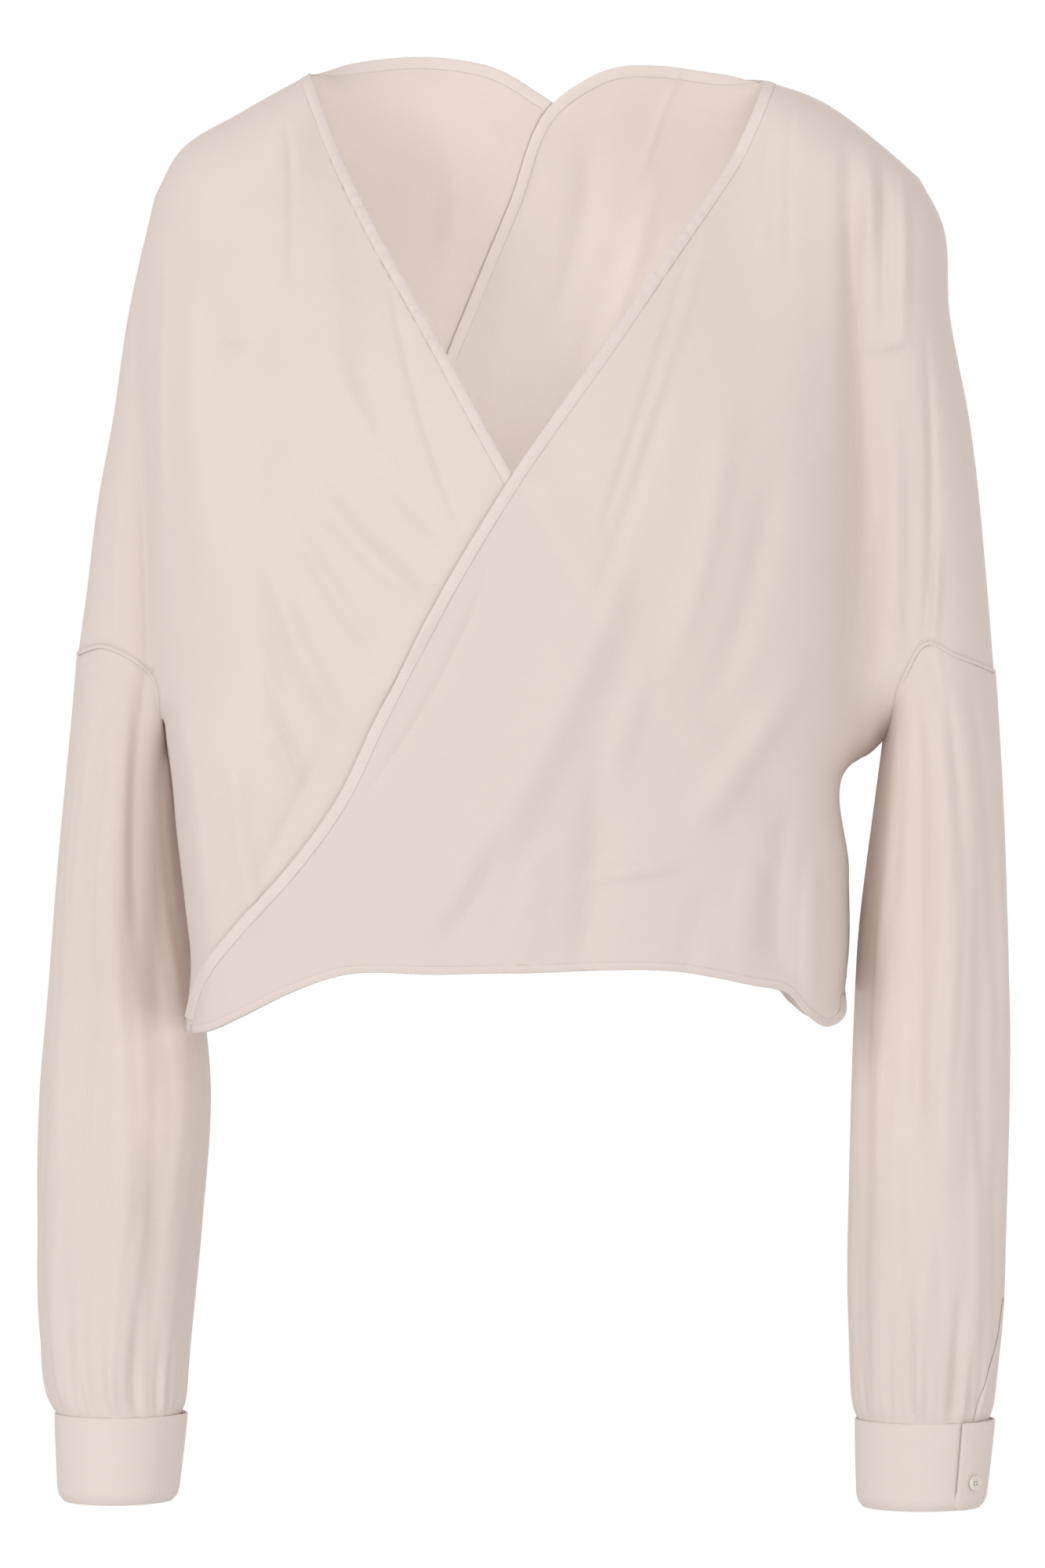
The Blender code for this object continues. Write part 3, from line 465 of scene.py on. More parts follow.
def measured(points):
    """Distance along the rows and down the columns of a grid of points, in metres, as u and v."""
    across = np.linalg.norm(np.diff(points, axis=1, prepend=points[:, :1]), axis=-1)
    down = np.linalg.norm(np.diff(points, axis=0, prepend=points[:1]), axis=-1)
    return np.stack((np.cumsum(across, axis=1), -np.cumsum(down, axis=0)), axis=-1) * MM


def new_group(name, inputs, outputs):
    """Empty node group with named inputs and outputs, each given as name, socket type and default."""
    group = bpy.data.node_groups.new(name, "ShaderNodeTree")
    for label, kind, value in inputs:
        socket = group.interface.new_socket(name=label, in_out="INPUT", socket_type=kind)
        if value is not None:
            socket.default_value = value
    for label, kind in outputs:
        group.interface.new_socket(name=label, in_out="OUTPUT", socket_type=kind)
    return group, group.nodes.new("NodeGroupInput"), group.nodes.new("NodeGroupOutput")


def math_node(tree, operation, a, b=None):
    """Math node fed by sockets or numbers."""
    node = add_node(tree, "Math", {0: a, 1: b})
    node.operation = operation
    return node.outputs[0]


def colour_mix(tree, factor, first, second):
    """Mix of two colours by a factor."""
    node = tree.nodes.new("ShaderNodeMix")
    node.data_type = "RGBA"
    return feed(tree, node, {"Factor": factor, "A": first, "B": second}).outputs["Result"]


def voile_group():
    """Plain weave with slubs: crossed thread waves, streaks along both ways, and a faint crumple."""
    group, start, end = new_group(
        "voile_weave",
        (("Vector", "NodeSocketVector", None), ("Threads", "NodeSocketFloat", 1500.0),
         ("Light", "NodeSocketColor", (0.76, 0.66, 0.61, 1.0)),
         ("Dark", "NodeSocketColor", (0.70, 0.60, 0.55, 1.0))),
        (("Color", "NodeSocketColor"), ("Height", "NodeSocketFloat"), ("Roughness", "NodeSocketFloat")))
    place = start.outputs["Vector"]
    split = add_node(group, "SeparateXYZ", {0: place})
    waves = []
    for axis in (0, 1):
        turn = math_node(group, "MULTIPLY", split.outputs[axis], start.outputs["Threads"])
        waves.append(math_node(group, "SINE", math_node(group, "MULTIPLY", turn, 2 * math.pi)))
    weave = math_node(group, "MULTIPLY", waves[0], waves[1])
    streaks = []
    for scale in ((900.0, 60.0, 1.0), (60.0, 900.0, 1.0)):
        mapping = add_node(group, "Mapping", {"Scale": scale, "Vector": place})
        noise = add_node(group, "TexNoise", {"Scale": 1.0, "Detail": 2.0, "Vector": mapping.outputs[0]})
        streaks.append(noise.outputs["Fac"])
    slub = math_node(group, "MULTIPLY", math_node(group, "ADD", streaks[0], streaks[1]), 0.5)
    crumple = add_node(group, "TexNoise", {"Scale": 46.0, "Detail": 3.0, "Vector": place}).outputs["Fac"]
    tone = math_node(group, "ADD", math_node(group, "MULTIPLY", slub, 0.7),
                     math_node(group, "MULTIPLY", crumple, 0.3))
    tone = math_node(group, "ADD", tone, math_node(group, "MULTIPLY", weave, 0.12))
    height = math_node(group, "ADD", math_node(group, "MULTIPLY", weave, 0.35),
                       math_node(group, "MULTIPLY", slub, 1.0))
    height = math_node(group, "ADD", height, math_node(group, "MULTIPLY", crumple, 1.6))
    roughness = math_node(group, "ADD", math_node(group, "MULTIPLY", slub, 0.2), 0.68)
    colour = colour_mix(group, tone, start.outputs["Dark"], start.outputs["Light"])
    feed(group, end, {"Color": colour, "Height": height, "Roughness": roughness})
    return group


VOILE = voile_group()
THROUGH = 0.16          # share of the light that comes through single cloth
THREAD_RELIEF = 0.00012


def voile(name, light, dark, through=THROUGH):
    """Voile finish: the weave group feeds a Principled cloth, mixed with light that comes through it."""
    finish = bpy.data.materials.new(name)
    finish.use_nodes = True
    tree = finish.node_tree
    uv = tree.nodes.new("ShaderNodeUVMap")
    uv.uv_map = "cloth"
    weave = tree.nodes.new("ShaderNodeGroup")
    weave.node_tree = VOILE
    weave = feed(tree, weave, {"Light": light, "Dark": dark, "Vector": uv.outputs["UV"]}).outputs
    relief = add_node(tree, "Bump", {"Strength": 0.35, "Distance": THREAD_RELIEF, "Height": weave["Height"]})
    shader = feed(tree, tree.nodes["Principled BSDF"], {
        "Base Color": weave["Color"], "Roughness": weave["Roughness"], "Normal": relief.outputs["Normal"],
        "Sheen Weight": 0.12, "Sheen Roughness": 0.4, "Specular IOR Level": 0.25})
    glow = add_node(tree, "BsdfTranslucent", {"Color": weave["Color"]})
    both = add_node(tree, "MixShader", {"Fac": through, 1: shader.outputs[0], 2: glow.outputs[0]})
    feed(tree, tree.nodes["Material Output"], {"Surface": both.outputs[0]})
    return finish


CLOTH_LIGHT = (0.815, 0.715, 0.662, 1.0)
CLOTH_DARK = (0.755, 0.652, 0.597, 1.0)
cloth_finish = voile("voile_body", CLOTH_LIGHT, CLOTH_DARK)


def wrap_panel(name, face, flip, outlines, inward, over_what=None):
    """Wrap panel: its x, z grid lifted to the worn form, and over the panel beneath where it laps."""
    upper, lower = panel_grid(*outlines, inward, over_what is not None)
    columns, width = upper.shape[1], BODY_COLUMNS + 1
    plan = np.concatenate((upper.reshape(-1, 2), lower[1:].reshape(-1, 2)))
    x, z = plan[:, 0], plan[:, 1]
    lift = overlap_lift(x, z, *over_what) if over_what else 0.0
    points = body_point(x, z, face, lift)
    last, first = UPPER_ROWS * columns, (UPPER_ROWS + 1) * columns
    join = np.arange(BODY_COLUMNS)
    join = np.stack((last + join, first + join, first + join + 1, last + join + 1), axis=-1)
    quads = np.concatenate((grid_quads(UPPER_ROWS + 1, columns, flip=flip), join[:, ::-1] if flip else join,
                            grid_quads(LOWER_ROWS, width, first, flip=flip)))
    top = points[:first].reshape(UPPER_ROWS + 1, columns, 3)
    rest = np.concatenate((top[-1:, :width], points[first:].reshape(LOWER_ROWS, width, 3)))
    top_uv, rest_uv = measured(top), measured(rest)
    rest_uv[..., 1] += top_uv[-1, :width, 1]
    metres = np.concatenate((top_uv.reshape(-1, 2), rest_uv[1:].reshape(-1, 2)))
    piece = cloth_piece(name, points, quads, cloth_finish, metres=metres)
    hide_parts(name.replace("_cloth", ""))
    return piece


right_outline = (RIGHT_SHOULDER, RIGHT_ARM_TOP, RIGHT_ARMHOLE, RIGHT_SIDE, HEM)
front_under = wrap_panel("front_right_under_cloth", -1, False, (FRONT_UNDER_EDGE, *right_outline), -1)

# Left front, the over wrap panel: the same voile, crossing from the left shoulder to the right side seam.
# It is cut in one with the upper arm, sewn to the left back at the shoulder and arm, and held at the far
# side by the side seam. Its edge is given as x, z, like the outlines above.
FRONT_OVER_EDGE = ((113, -3), (104, -26), (96, -43), (84, -62), (62, -95), (35, -136), (-12, -204),
                   (-47, -262), (-78, -322), (-96, -359), (-120, -392), (-146, -421), (-163, -443),
                   (-174, -474))
left_outline = (LEFT_SHOULDER, LEFT_ARM_TOP, LEFT_ARMHOLE, LEFT_SIDE, HEM)
front_lap = (FRONT_UNDER_EDGE, -1, LEFT_SIDE)
front_over = wrap_panel("front_left_over_cloth", -1, True, (FRONT_OVER_EDGE, *left_outline), 1, front_lap)

# Backs: two panels of the same voile that cross as the fronts do. The left back lies inside, nearest the
# wearer, and the right back outside. Each is sewn to the front of its own side along the shoulder, the arm
# and the side seam.
BACK_UNDER_EDGE = ((113, -3), (100, 4), (85, 8), (62, 12), (38, 11), (22, 4), (8, -6), (-14, -55),
                   (-44, -126), (-80, -218), (-116, -310), (-150, -398))
BACK_OVER_EDGE = ((-113, 1), (-100, 9), (-77, 15), (-46, 16), (-18, 10), (2, -2), (8, -6), (30, -55),
                  (59, -126), (91, -218), (122, -330), (153, -448))
back_lap = (BACK_UNDER_EDGE, 1, RIGHT_SIDE)
back_under = wrap_panel("back_left_under_cloth", 1, False, (BACK_UNDER_EDGE, *left_outline), 1)
back_over = wrap_panel("back_right_over_cloth", 1, True, (BACK_OVER_EDGE, *right_outline), -1, back_lap)

# Bindings: every wrap edge is closed by a strip of the same voile, folded over it and stitched down. The
# right front's is gathered tight, so small pleats cross it; the others are only lightly drawn in.
BINDING_LIGHT = (0.81, 0.715, 0.662, 1.0)
BINDING_DARK = (0.765, 0.667, 0.615, 1.0)
BINDING_THROUGH = 0.12
BINDING_STEPS = 620
BINDING_HALF = 0.48     # half of the folded strip's thickness
FOLD_SHELL = 0.28
STITCH_LONG = 1.7
STITCH_STEP = 2.5
THREAD_RADIUS = 0.13
STITCH_RINGS = 5
THREAD_SIDES = 6
STRIP_POINTS = 15       # points across a folded strip: up one face, round the fold and down the other
STRIP_TURN = 160.0      # degrees of the oval, each way from the fold
INNER_AT, OUTER_AT = 3, 11      # the points where the stitches go through

thread_finish = bpy.data.materials.new("thread")
thread_finish.use_nodes = True
feed(thread_finish.node_tree, thread_finish.node_tree.nodes["Principled BSDF"],
     {"Base Color": (0.86, 0.77, 0.72, 1.0), "Roughness": 0.6})


def stitch_row(name, line, normal):
    """Row of stitches along a line: each is a short thread that rises from the cloth and dips back."""
    run = np.concatenate(([0.0], np.cumsum(np.linalg.norm(np.diff(line, axis=0), axis=1))))
    start = np.arange(STITCH_STEP, run[-1] - STITCH_STEP, STITCH_STEP)[:, None]
    along = np.linspace(0, 1, STITCH_RINGS)
    place = start + STITCH_LONG * along
    centre = np.stack([np.interp(place, run, line[:, k]) for k in range(3)], axis=-1)
    up = np.stack([np.interp(place, run, normal[:, k]) for k in range(3)], axis=-1)
    up /= np.linalg.norm(up, axis=-1, keepdims=True)
    ahead = np.gradient(centre, axis=1)
    side = np.cross(up, ahead)
    side /= np.linalg.norm(side, axis=-1, keepdims=True)
    rise = THREAD_RADIUS * (2.2 * np.sin(math.pi * along) - 1.0)
    turn = np.arange(THREAD_SIDES) * 2 * math.pi / THREAD_SIDES
    ring = np.cos(turn)[:, None] * side[:, :, None] + np.sin(turn)[:, None] * up[:, :, None]
    points = centre[:, :, None] + (rise[:, None] * up)[:, :, None] + THREAD_RADIUS * ring
    one = grid_quads(STITCH_RINGS, THREAD_SIDES, closed=True)
    quads = one[None] + STITCH_RINGS * THREAD_SIDES * np.arange(len(start))[:, None, None]
    flat = np.zeros(points.size // 3 * 2)
    return cloth_piece(name, points, quads.reshape(-1, 4), thread_finish, 0.0, flat)


def gather_height(run, across, gathers, seed):
    """Height of small pleats crossing a strip: bells at uneven places, each leaning a little."""
    pick = np.random.default_rng(seed)
    total = np.zeros(np.shape(run))
    for first, last, spacing, height in gathers:
        place = first
        while place < last:
            lean = pick.uniform(-0.5, 1.6)
            half_width = spacing * pick.uniform(0.28, 0.42)
            ends = smooth_step(first - 9, first + 9, place) * smooth_step(last + 9, last - 9, place)
            tall = height * pick.uniform(0.4, 1.0) * float(ends)
            total += tall * np.exp(-((run - place - lean * across) / half_width) ** 2)
            place += spacing * pick.uniform(0.6, 1.5)
    return total


def folded_strip(name, face, flip, plan_at, steps, gathers, seed, over_what, finish, half):
    """Strip folded over an edge: an open oval carried along it, with gathers and one row of stitches."""
    turn = np.radians(np.linspace(-STRIP_TURN, STRIP_TURN, STRIP_POINTS))
    share, turn = np.meshgrid(steps, turn, indexing="ij")
    across = 0.5 - 0.5 * np.cos(turn)
    edge = plan_at(steps, 0.0 * steps)
    run = np.cumsum(np.linalg.norm(np.diff(edge, axis=0, prepend=plan_at(steps[:1], steps[:1])), axis=1))
    raised = gather_height(np.repeat(run[:, None], STRIP_POINTS, axis=1), across * 2.0, gathers, seed)
    plan = plan_at(share, across)
    lift = overlap_lift(plan[..., 0], plan[..., 1], *over_what) if over_what else 0.0
    out = lift + (half + raised * np.where(turn > 0, 1.0, 0.4)) * np.sin(turn)
    points = body_point(plan[..., 0], plan[..., 1], face, out)
    quads = grid_quads(*share.shape, flip=flip)
    piece = cloth_piece(name, points, quads, finish, FOLD_SHELL)
    normal = points[:, OUTER_AT] - points[:, INNER_AT]
    rise = normal / np.linalg.norm(normal, axis=1, keepdims=True) * 0.16
    row = 0.5 * (points[:, OUTER_AT] + points[:, OUTER_AT + 1]) + rise
    return piece, stitch_row(name + "_stitches", row, normal)


def binding(node, face, flip, wrap_edge, inward, gathers, seed, over_what=None, start=0.0, end=1.0):
    """Binding of one wrap edge, in place of its CAD node."""
    piece, stitches = folded_strip(
        node + "_strip", face, flip, lambda s, w: edge_inset(wrap_edge, s, inward, BINDING_WIDTH * w),
        np.linspace(start, end, BINDING_STEPS + 1), gathers, seed, over_what, binding_finish, BINDING_HALF)
    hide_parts(node)


binding_finish = voile("voile_binding", BINDING_LIGHT, BINDING_DARK, BINDING_THROUGH)
# Gathers: start and end along the strip, spacing, height
LEFT_GATHERS = ((8, 60, 9, 0.5), (60, 135, 6, 0.8), (200, 330, 16, 0.4), (420, 570, 18, 0.5),
                (560, 640, 4.8, 1.6))
RIGHT_GATHERS = ((10, 45, 7, 0.6), (45, 170, 4.4, 1.7), (170, 250, 7, 1.0), (280, 470, 15, 0.4))
BACK_GATHERS = ((10, 120, 12, 0.45), (150, 300, 16, 0.45), (320, 480, 18, 0.4))
binding("binding_front_left", -1, True, FRONT_OVER_EDGE, 1, LEFT_GATHERS, 3, front_lap, 0.0, 0.985)
binding("binding_front_right", -1, False, FRONT_UNDER_EDGE, -1, RIGHT_GATHERS, 5, None, 0.0, 0.97)
binding("binding_back_right", 1, True, BACK_OVER_EDGE, -1, BACK_GATHERS, 7, back_lap)
binding("binding_back_left", 1, False, BACK_UNDER_EDGE, 1, BACK_GATHERS, 9, None, 0.01, 1.0)

# Hems: the lower edge of each panel is turned up twice, 4 mm deep, and stitched along its top. The hem is
# the panel's own voile.
HEM_DEEP = 4.0
HEM_HALF = 0.34
HEM_STEPS = 200


def hem(panel, face, flip, first, last, over_what=None):
    """Narrow turned hem along part of the lower edge, from one share of the hem curve to another."""
    return folded_strip(
        panel + "_hem", face, flip,
        lambda s, w: curve(HEM, s) + curve_normal(HEM, s) * (HEM_DEEP * w)[..., None],
        np.linspace(first, last, HEM_STEPS), (), 1, over_what, cloth_finish, HEM_HALF)


front_over_hem = hem("front_left_over", -1, False, 0.02, 0.995, front_lap)
front_under_hem = hem("front_right_under", -1, False, 0.005, 0.90)
back_over_hem = hem("back_right_over", 1, True, 0.005, 0.965, back_lap)
back_under_hem = hem("back_left_under", 1, True, 0.12, 0.995)

# Sleeves: full tubes of voile, sewn into the dropped armhole at the elbow's height, then pleated and
# gathered into the cuff. The right one hangs further back and passes behind the side of the body.
CUFF_TOP = -668.0
CUFF_BOTTOM = -711.0
SLEEVE_END = CUFF_TOP - 1.2
SEAT_SHARE = 0.32       # share of the sleeve over which it passes from the armhole seam into its rings
# Sleeve rings: height, outer x, inner x, centre y, half depth
LEFT_SLEEVE = ((-322, 230, 174, 0, 46), (-379, 233, 166, 0, 47), (-430, 234, 160, 1, 46),
               (-470, 235, 158, 2, 45), (-547, 234, 156, 2, 42), (-621, 231, 155, 0, 37),
               (-655, 227, 157, -1, 32), (-668, 225, 159, -1, 29))
RIGHT_SLEEVE = ((-316, -230, -185, 4, 38), (-350, -235, -181, 15, 40), (-391, -240, -177, 27, 41),
                (-451, -246, -170, 42, 42), (-510, -251, -165, 49, 43), (-569, -252, -169, 46, 42),
                (-627, -250, -174, 36, 38), (-655, -246, -177, 29, 32), (-668, -241, -178, 26, 29))
LEFT_CUFF = ((CUFF_TOP, 225, 159, -1, 28), (CUFF_BOTTOM, 220, 160, -1, 27))
RIGHT_CUFF = ((CUFF_TOP, -241, -178, 26, 28), (CUFF_BOTTOM, -239, -183, 24, 27))
# Sleeve folds: degrees round (0 outer, 90 front, 180 inner, 270 back), drift, start, end, half width, height
LEFT_SLEEVE_FOLDS = (
    (109, -10, 0.02, 0.60, 6, -3.2), (72, 0, 0.00, 0.22, 5, -2.4), (58, -6, 0.24, 0.62, 6, -2.2),
    (84, -2, 0.05, 0.70, 7, 2.4), (139, -6, 0.05, 0.60, 8, 2.2), (40, 0, 0.02, 0.35, 7, -2.6),
    (28, -4, 0.25, 0.75, 7, 2.0), (104, 0, 0.84, 1.00, 4, -3.4), (66, 2, 0.84, 1.00, 4, -3.0),
    (76, 26, 0.76, 1.00, 6, 2.4), (122, 0, 0.86, 1.00, 4, -1.6), (150, 0, 0.30, 0.90, 9, -2.5),
    (128, 4, 0.62, 0.95, 7, 1.6), (50, 6, 0.60, 0.90, 6, 1.4), (230, 5, 0.05, 0.70, 9, -3.5),
    (265, -4, 0.00, 0.80, 9, 3.0), (300, 4, 0.20, 0.95, 8, -3.0), (250, 0, 0.80, 1.00, 5, -3.2),
    (285, 0, 0.80, 1.00, 5, -3.2), (335, 6, 0.10, 0.60, 7, 1.8), (205, 0, 0.82, 1.00, 5, -2.0))
RIGHT_SLEEVE_FOLDS = (
    (62, 5, 0.02, 0.60, 8, -2.6), (90, 4, 0.10, 0.80, 9, 2.2), (120, 0, 0.30, 0.95, 8, -2.4),
    (40, 3, 0.45, 0.95, 8, 2.0), (104, -6, 0.02, 0.34, 6, -1.6), (76, 8, 0.55, 0.96, 7, -1.6),
    (75, 0, 0.82, 1.00, 5, -2.4), (110, 0, 0.84, 1.00, 5, -2.4), (92, 0, 0.88, 1.00, 4, 1.6),
    (56, 0, 0.86, 1.00, 4, -1.8), (160, 0, 0.35, 0.90, 8, -2.5), (230, 5, 0.05, 0.70, 9, -3.5),
    (265, -4, 0.00, 0.80, 9, 3.0), (300, 4, 0.20, 0.95, 8, -3.0), (250, 0, 0.80, 1.00, 5, -3.2),
    (285, 0, 0.80, 1.00, 5, -3.2), (200, 0, 0.84, 1.00, 5, -2.0), (325, -6, 0.10, 0.55, 7, 1.8))
SLEEVE_ROWS, SLEEVE_COLUMNS = 140, 180


def ring_point(table, angle, height, swell=0.0):
    """Points of a sleeve or cuff ring at an angle and height: the table's ellipse, moved out by swell."""
    outer, inner = read_table(table, height, 1), read_table(table, height, 2)
    half = (outer - inner) / 2
    x = (outer + inner) / 2 + (half + np.sign(half) * swell) * np.cos(angle)
    y = read_table(table, height, 3) - (read_table(table, height, 4) + swell) * np.sin(angle)
    return np.stack((x, y, height + 0.0 * x), axis=-1)


def armhole_loop(armhole, angle, side, step=-0.8, out=-0.35):
    """The armhole seam all round, read from the body's surface, a step down the sleeve and out."""
    turn = np.mod(angle, 2 * math.pi)
    share = np.where(turn <= math.pi, turn / math.pi, 2.0 - turn / math.pi)
    seam = curve(armhole, share) + curve_normal(armhole, share) * side * np.asarray(step)[..., None]
    front = body_point(seam[..., 0], seam[..., 1], -1, out)
    back = body_point(seam[..., 0], seam[..., 1], 1, out)
    return np.where((turn <= math.pi)[..., None], front, back)


def sleeve_swell(angle, share, folds, seed):
    """How far the sleeve stands out from its rings: folds and pleats, then fine gathers at the cuff."""
    pick = np.random.default_rng(seed)
    swell = np.zeros(angle.shape)
    for at, drift, start, end, half_width, lift in folds:
        apart = np.degrees(np.abs(np.angle(np.exp(1j * (angle - np.radians(at + drift * share))))))
        fade = smooth_step(start - 0.08, start + 0.1, share)
        if end < 1.0:
            fade = fade * smooth_step(end + 0.08, end - 0.1, share)
        swell += lift * fade * np.exp(-(apart / half_width / 1.3) ** 2)
    for count in (11, 17, 23, 31, 37):
        phase = pick.uniform(0, 6.28)
        wander = 1.2 * np.sin(2.1 * math.pi * share + phase)
        swell += 0.32 * smooth_step(0.86, 1.0, share) * np.sin(count * angle + phase + wander)
        swell += 0.10 * np.sin((count - 8) * angle + 3 * wander) * smooth_step(0, 0.3, share)
    swell = swell * smooth_step(0.0, 0.12, share) * (1.0 - 0.8 * smooth_step(0.965, 0.995, share))
    return swell - 1.0 * smooth_step(0.98, 1.0, share)


def sleeve(node, table, armhole, side, folds, seed):
    """Sleeve tube blended from the armhole seam into its rings, with its folds."""
    rows = np.linspace(0, 1, SLEEVE_ROWS + 1)
    rows = 0.75 * rows + 0.25 * np.sin(rows * 0.5 * math.pi)
    angle, share = np.meshgrid(np.linspace(0, 2 * math.pi, SLEEVE_COLUMNS, endpoint=False), rows)
    height = table[0][0] + (SLEEVE_END - table[0][0]) * share
    swell = sleeve_swell(angle, share, folds, seed)
    seat = ((1.0 - np.clip(share / SEAT_SHARE, 0, 1)) ** 2)[..., None]
    points = ring_point(table, angle, height, swell) * (1 - seat)
    points = points + armhole_loop(armhole, angle, side) * seat
    metres = measured(np.concatenate((points, points[:, :1]), axis=1))[:, :-1]
    quads = grid_quads(SLEEVE_ROWS + 1, SLEEVE_COLUMNS, closed=True, flip=side < 0)
    piece = cloth_piece(node + "_cloth", points, quads, sleeve_finish, metres=metres)
    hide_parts(node)
    return piece


sleeve_finish = voile("voile_sleeve", CLOTH_LIGHT, CLOTH_DARK)
sleeve_left = sleeve("sleeve_left", LEFT_SLEEVE, LEFT_ARMHOLE, 1, LEFT_SLEEVE_FOLDS, 11)
sleeve_right = sleeve("sleeve_right", RIGHT_SLEEVE, RIGHT_ARMHOLE, -1, RIGHT_SLEEVE_FOLDS, 13)

# Armhole seams: body and sleeve are joined in a felled seam, a narrow doubled band of the cloth itself that
# shows as a fine ridge, with one row of stitches on its sleeve side.
SEAM_WIDE = 2.0
SEAM_STEPS = 300
SEAM_POINTS = 7         # points across the band
SEAM_ROW = 4            # the one that carries the stitches


def armhole_seam(name, armhole, side):
    """Narrow crowned band over the whole armhole seam, with a row of stitches on its sleeve side."""
    turn = np.linspace(0, 2 * math.pi, SEAM_STEPS, endpoint=False)
    angle, across = np.meshgrid(turn, np.linspace(-1, 1, SEAM_POINTS), indexing="ij")
    crown = 0.10 + 0.24 * np.sqrt(1.0 - across ** 2)
    points = armhole_loop(armhole, angle, side, across * SEAM_WIDE / 2, crown)
    quads = grid_quads(SEAM_STEPS, SEAM_POINTS, flip=side > 0)
    first = np.arange(SEAM_POINTS - 1)
    last = first + (SEAM_STEPS - 1) * SEAM_POINTS
    join = np.stack((last, first, first + 1, last + 1), axis=-1)
    quads = np.concatenate((quads, join[:, ::-1] if side > 0 else join))
    band = cloth_piece(name, points, quads, sleeve_finish, 0.2)
    normal = armhole_loop(armhole, angle[:, :1], side, 0.6, 1.5)[:, 0] - points[:, SEAM_ROW]
    return band, stitch_row(name + "_stitches", points[:, SEAM_ROW] + 0.08 * normal, normal)


seam_left = armhole_seam("armhole_seam_left", LEFT_ARMHOLE, 1)
seam_right = armhole_seam("armhole_seam_right", RIGHT_ARMHOLE, -1)

# Cuffs: doubled bands of voile, once round the wrist and on beneath their own over end, with rounded lower
# corners. The sleeve is caught in the upper edge, and the button near the over end keeps the cuff shut.
# Angle of the over end, angle that the under end runs beneath it, angle of the button
LEFT_CUFF_OVERLAP = (60.0, 48.0, 43.0)
RIGHT_CUFF_OVERLAP = (230.0, 48.0, 213.0)
CUFF_LIGHT = (0.795, 0.70, 0.645, 1.0)
CUFF_DARK = (0.75, 0.655, 0.60, 1.0)
CUFF_THROUGH = 0.12
CUFF_HALF = 0.55        # half of the doubled cloth
CUFF_LAP = 1.9          # the over end lies this far outside the under end
CUFF_CORNER = 6.0
GIRTH = 190.0           # round the wrist, for the corners' share of the turn
FACE_POINTS = 20        # points down each face of the band; three more round each rim
RING = 2 * FACE_POINTS + 6
CORNER_TURN = 14.0      # degrees at each end of the band that have closer steps, for its rounded corners
CORNER_STEPS, BAND_STEPS = 36, 300


def cuff_swell(turned, overlap):
    """Lift of the cuff band: its over end lies outside its under end."""
    return 0.4 + CUFF_LAP * smooth_step(overlap * 1.9, overlap * 1.05, turned)


def cuff(node, table, side, over_end, overlap):
    """Cuff band as one closed skin: outer face, rounded rims and inner face, with both ends shut."""
    full = 360.0 + overlap
    turned = np.concatenate((np.linspace(0.0, CORNER_TURN, CORNER_STEPS)[:-1],
                             np.linspace(CORNER_TURN, full - CORNER_TURN, BAND_STEPS)[:-1],
                             np.linspace(full - CORNER_TURN, full, CORNER_STEPS)))
    face, level = np.linspace(0, 1, FACE_POINTS), np.zeros(FACE_POINTS)
    down = np.concatenate((face, [1, 1, 1], face[::-1], [0, 0, 0]))
    out = np.concatenate((level + 1, [0.6, 0, -0.6], level - 1, [-0.6, 0, 0.6]))
    rim = np.concatenate((level, [0.5, 0.7, 0.5], level, [-0.5, -0.7, -0.5]))
    turned, down = np.meshgrid(turned, down, indexing="ij")
    to_end = np.minimum(turned, full - turned) * GIRTH / 360.0
    inside = np.clip(CUFF_CORNER - to_end, 0.0, CUFF_CORNER)
    rise = CUFF_CORNER - np.sqrt(CUFF_CORNER ** 2 - inside ** 2)
    height = CUFF_TOP + 0.6 + (CUFF_BOTTOM + rise - CUFF_TOP) * down - rim * CUFF_HALF
    pillow = 0.22 * np.sin(math.pi * np.clip((down - 0.06) / 0.88, 0, 1)) ** 0.5
    thick = (CUFF_HALF + pillow) * np.minimum(1.0, 0.35 + to_end / 1.2)
    angle = np.radians(over_end - turned)
    tuck = 3.4 * (1.0 - np.sqrt(1.0 - np.clip((down - 0.84) / 0.165, 0.0, 1.0) ** 2))
    swell = cuff_swell(turned, overlap) + out * thick - tuck
    points = ring_point(table, angle, np.clip(height, CUFF_BOTTOM, CUFF_TOP), swell)
    points[..., 2] = height
    j = np.arange(1, RING // 2 - 1)
    cap = np.stack(((RING - 2 + j) % RING, (RING - 1 + j) % RING, RING - 3 - j, RING - 2 - j), axis=-1)
    caps = np.concatenate((cap, cap[:, ::-1] + RING * (len(turned) - 1)))
    quads = np.concatenate((grid_quads(*turned.shape, closed=True, flip=side > 0),
                            caps if side > 0 else caps[:, ::-1]))
    piece = cloth_piece(node + "_band", points, quads, cuff_finish, 0.0, metres=measured(points)[..., ::-1])
    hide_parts(node)
    return piece


cuff_finish = voile("voile_cuff", CUFF_LIGHT, CUFF_DARK, CUFF_THROUGH)
cuff_left = cuff("cuff_left", LEFT_CUFF, 1, *LEFT_CUFF_OVERLAP[:2])
cuff_right = cuff("cuff_right", RIGHT_CUFF, -1, *RIGHT_CUFF_OVERLAP[:2])

# Sleeve plackets: the slit above each cuff is bound by a narrow folded strip of voile, pointed at its top
# and sewn down on the sleeve. Its lower end is caught in the cuff.
# Angle at the top and at the cuff, height of the top
LEFT_PLACKET = (14.0, 42.0, -606.0)
RIGHT_PLACKET = (196.0, 214.0, -606.0)
PLACKET_WIDE = 3.4
PLACKET_ROWS, PLACKET_POINTS = 90, 13


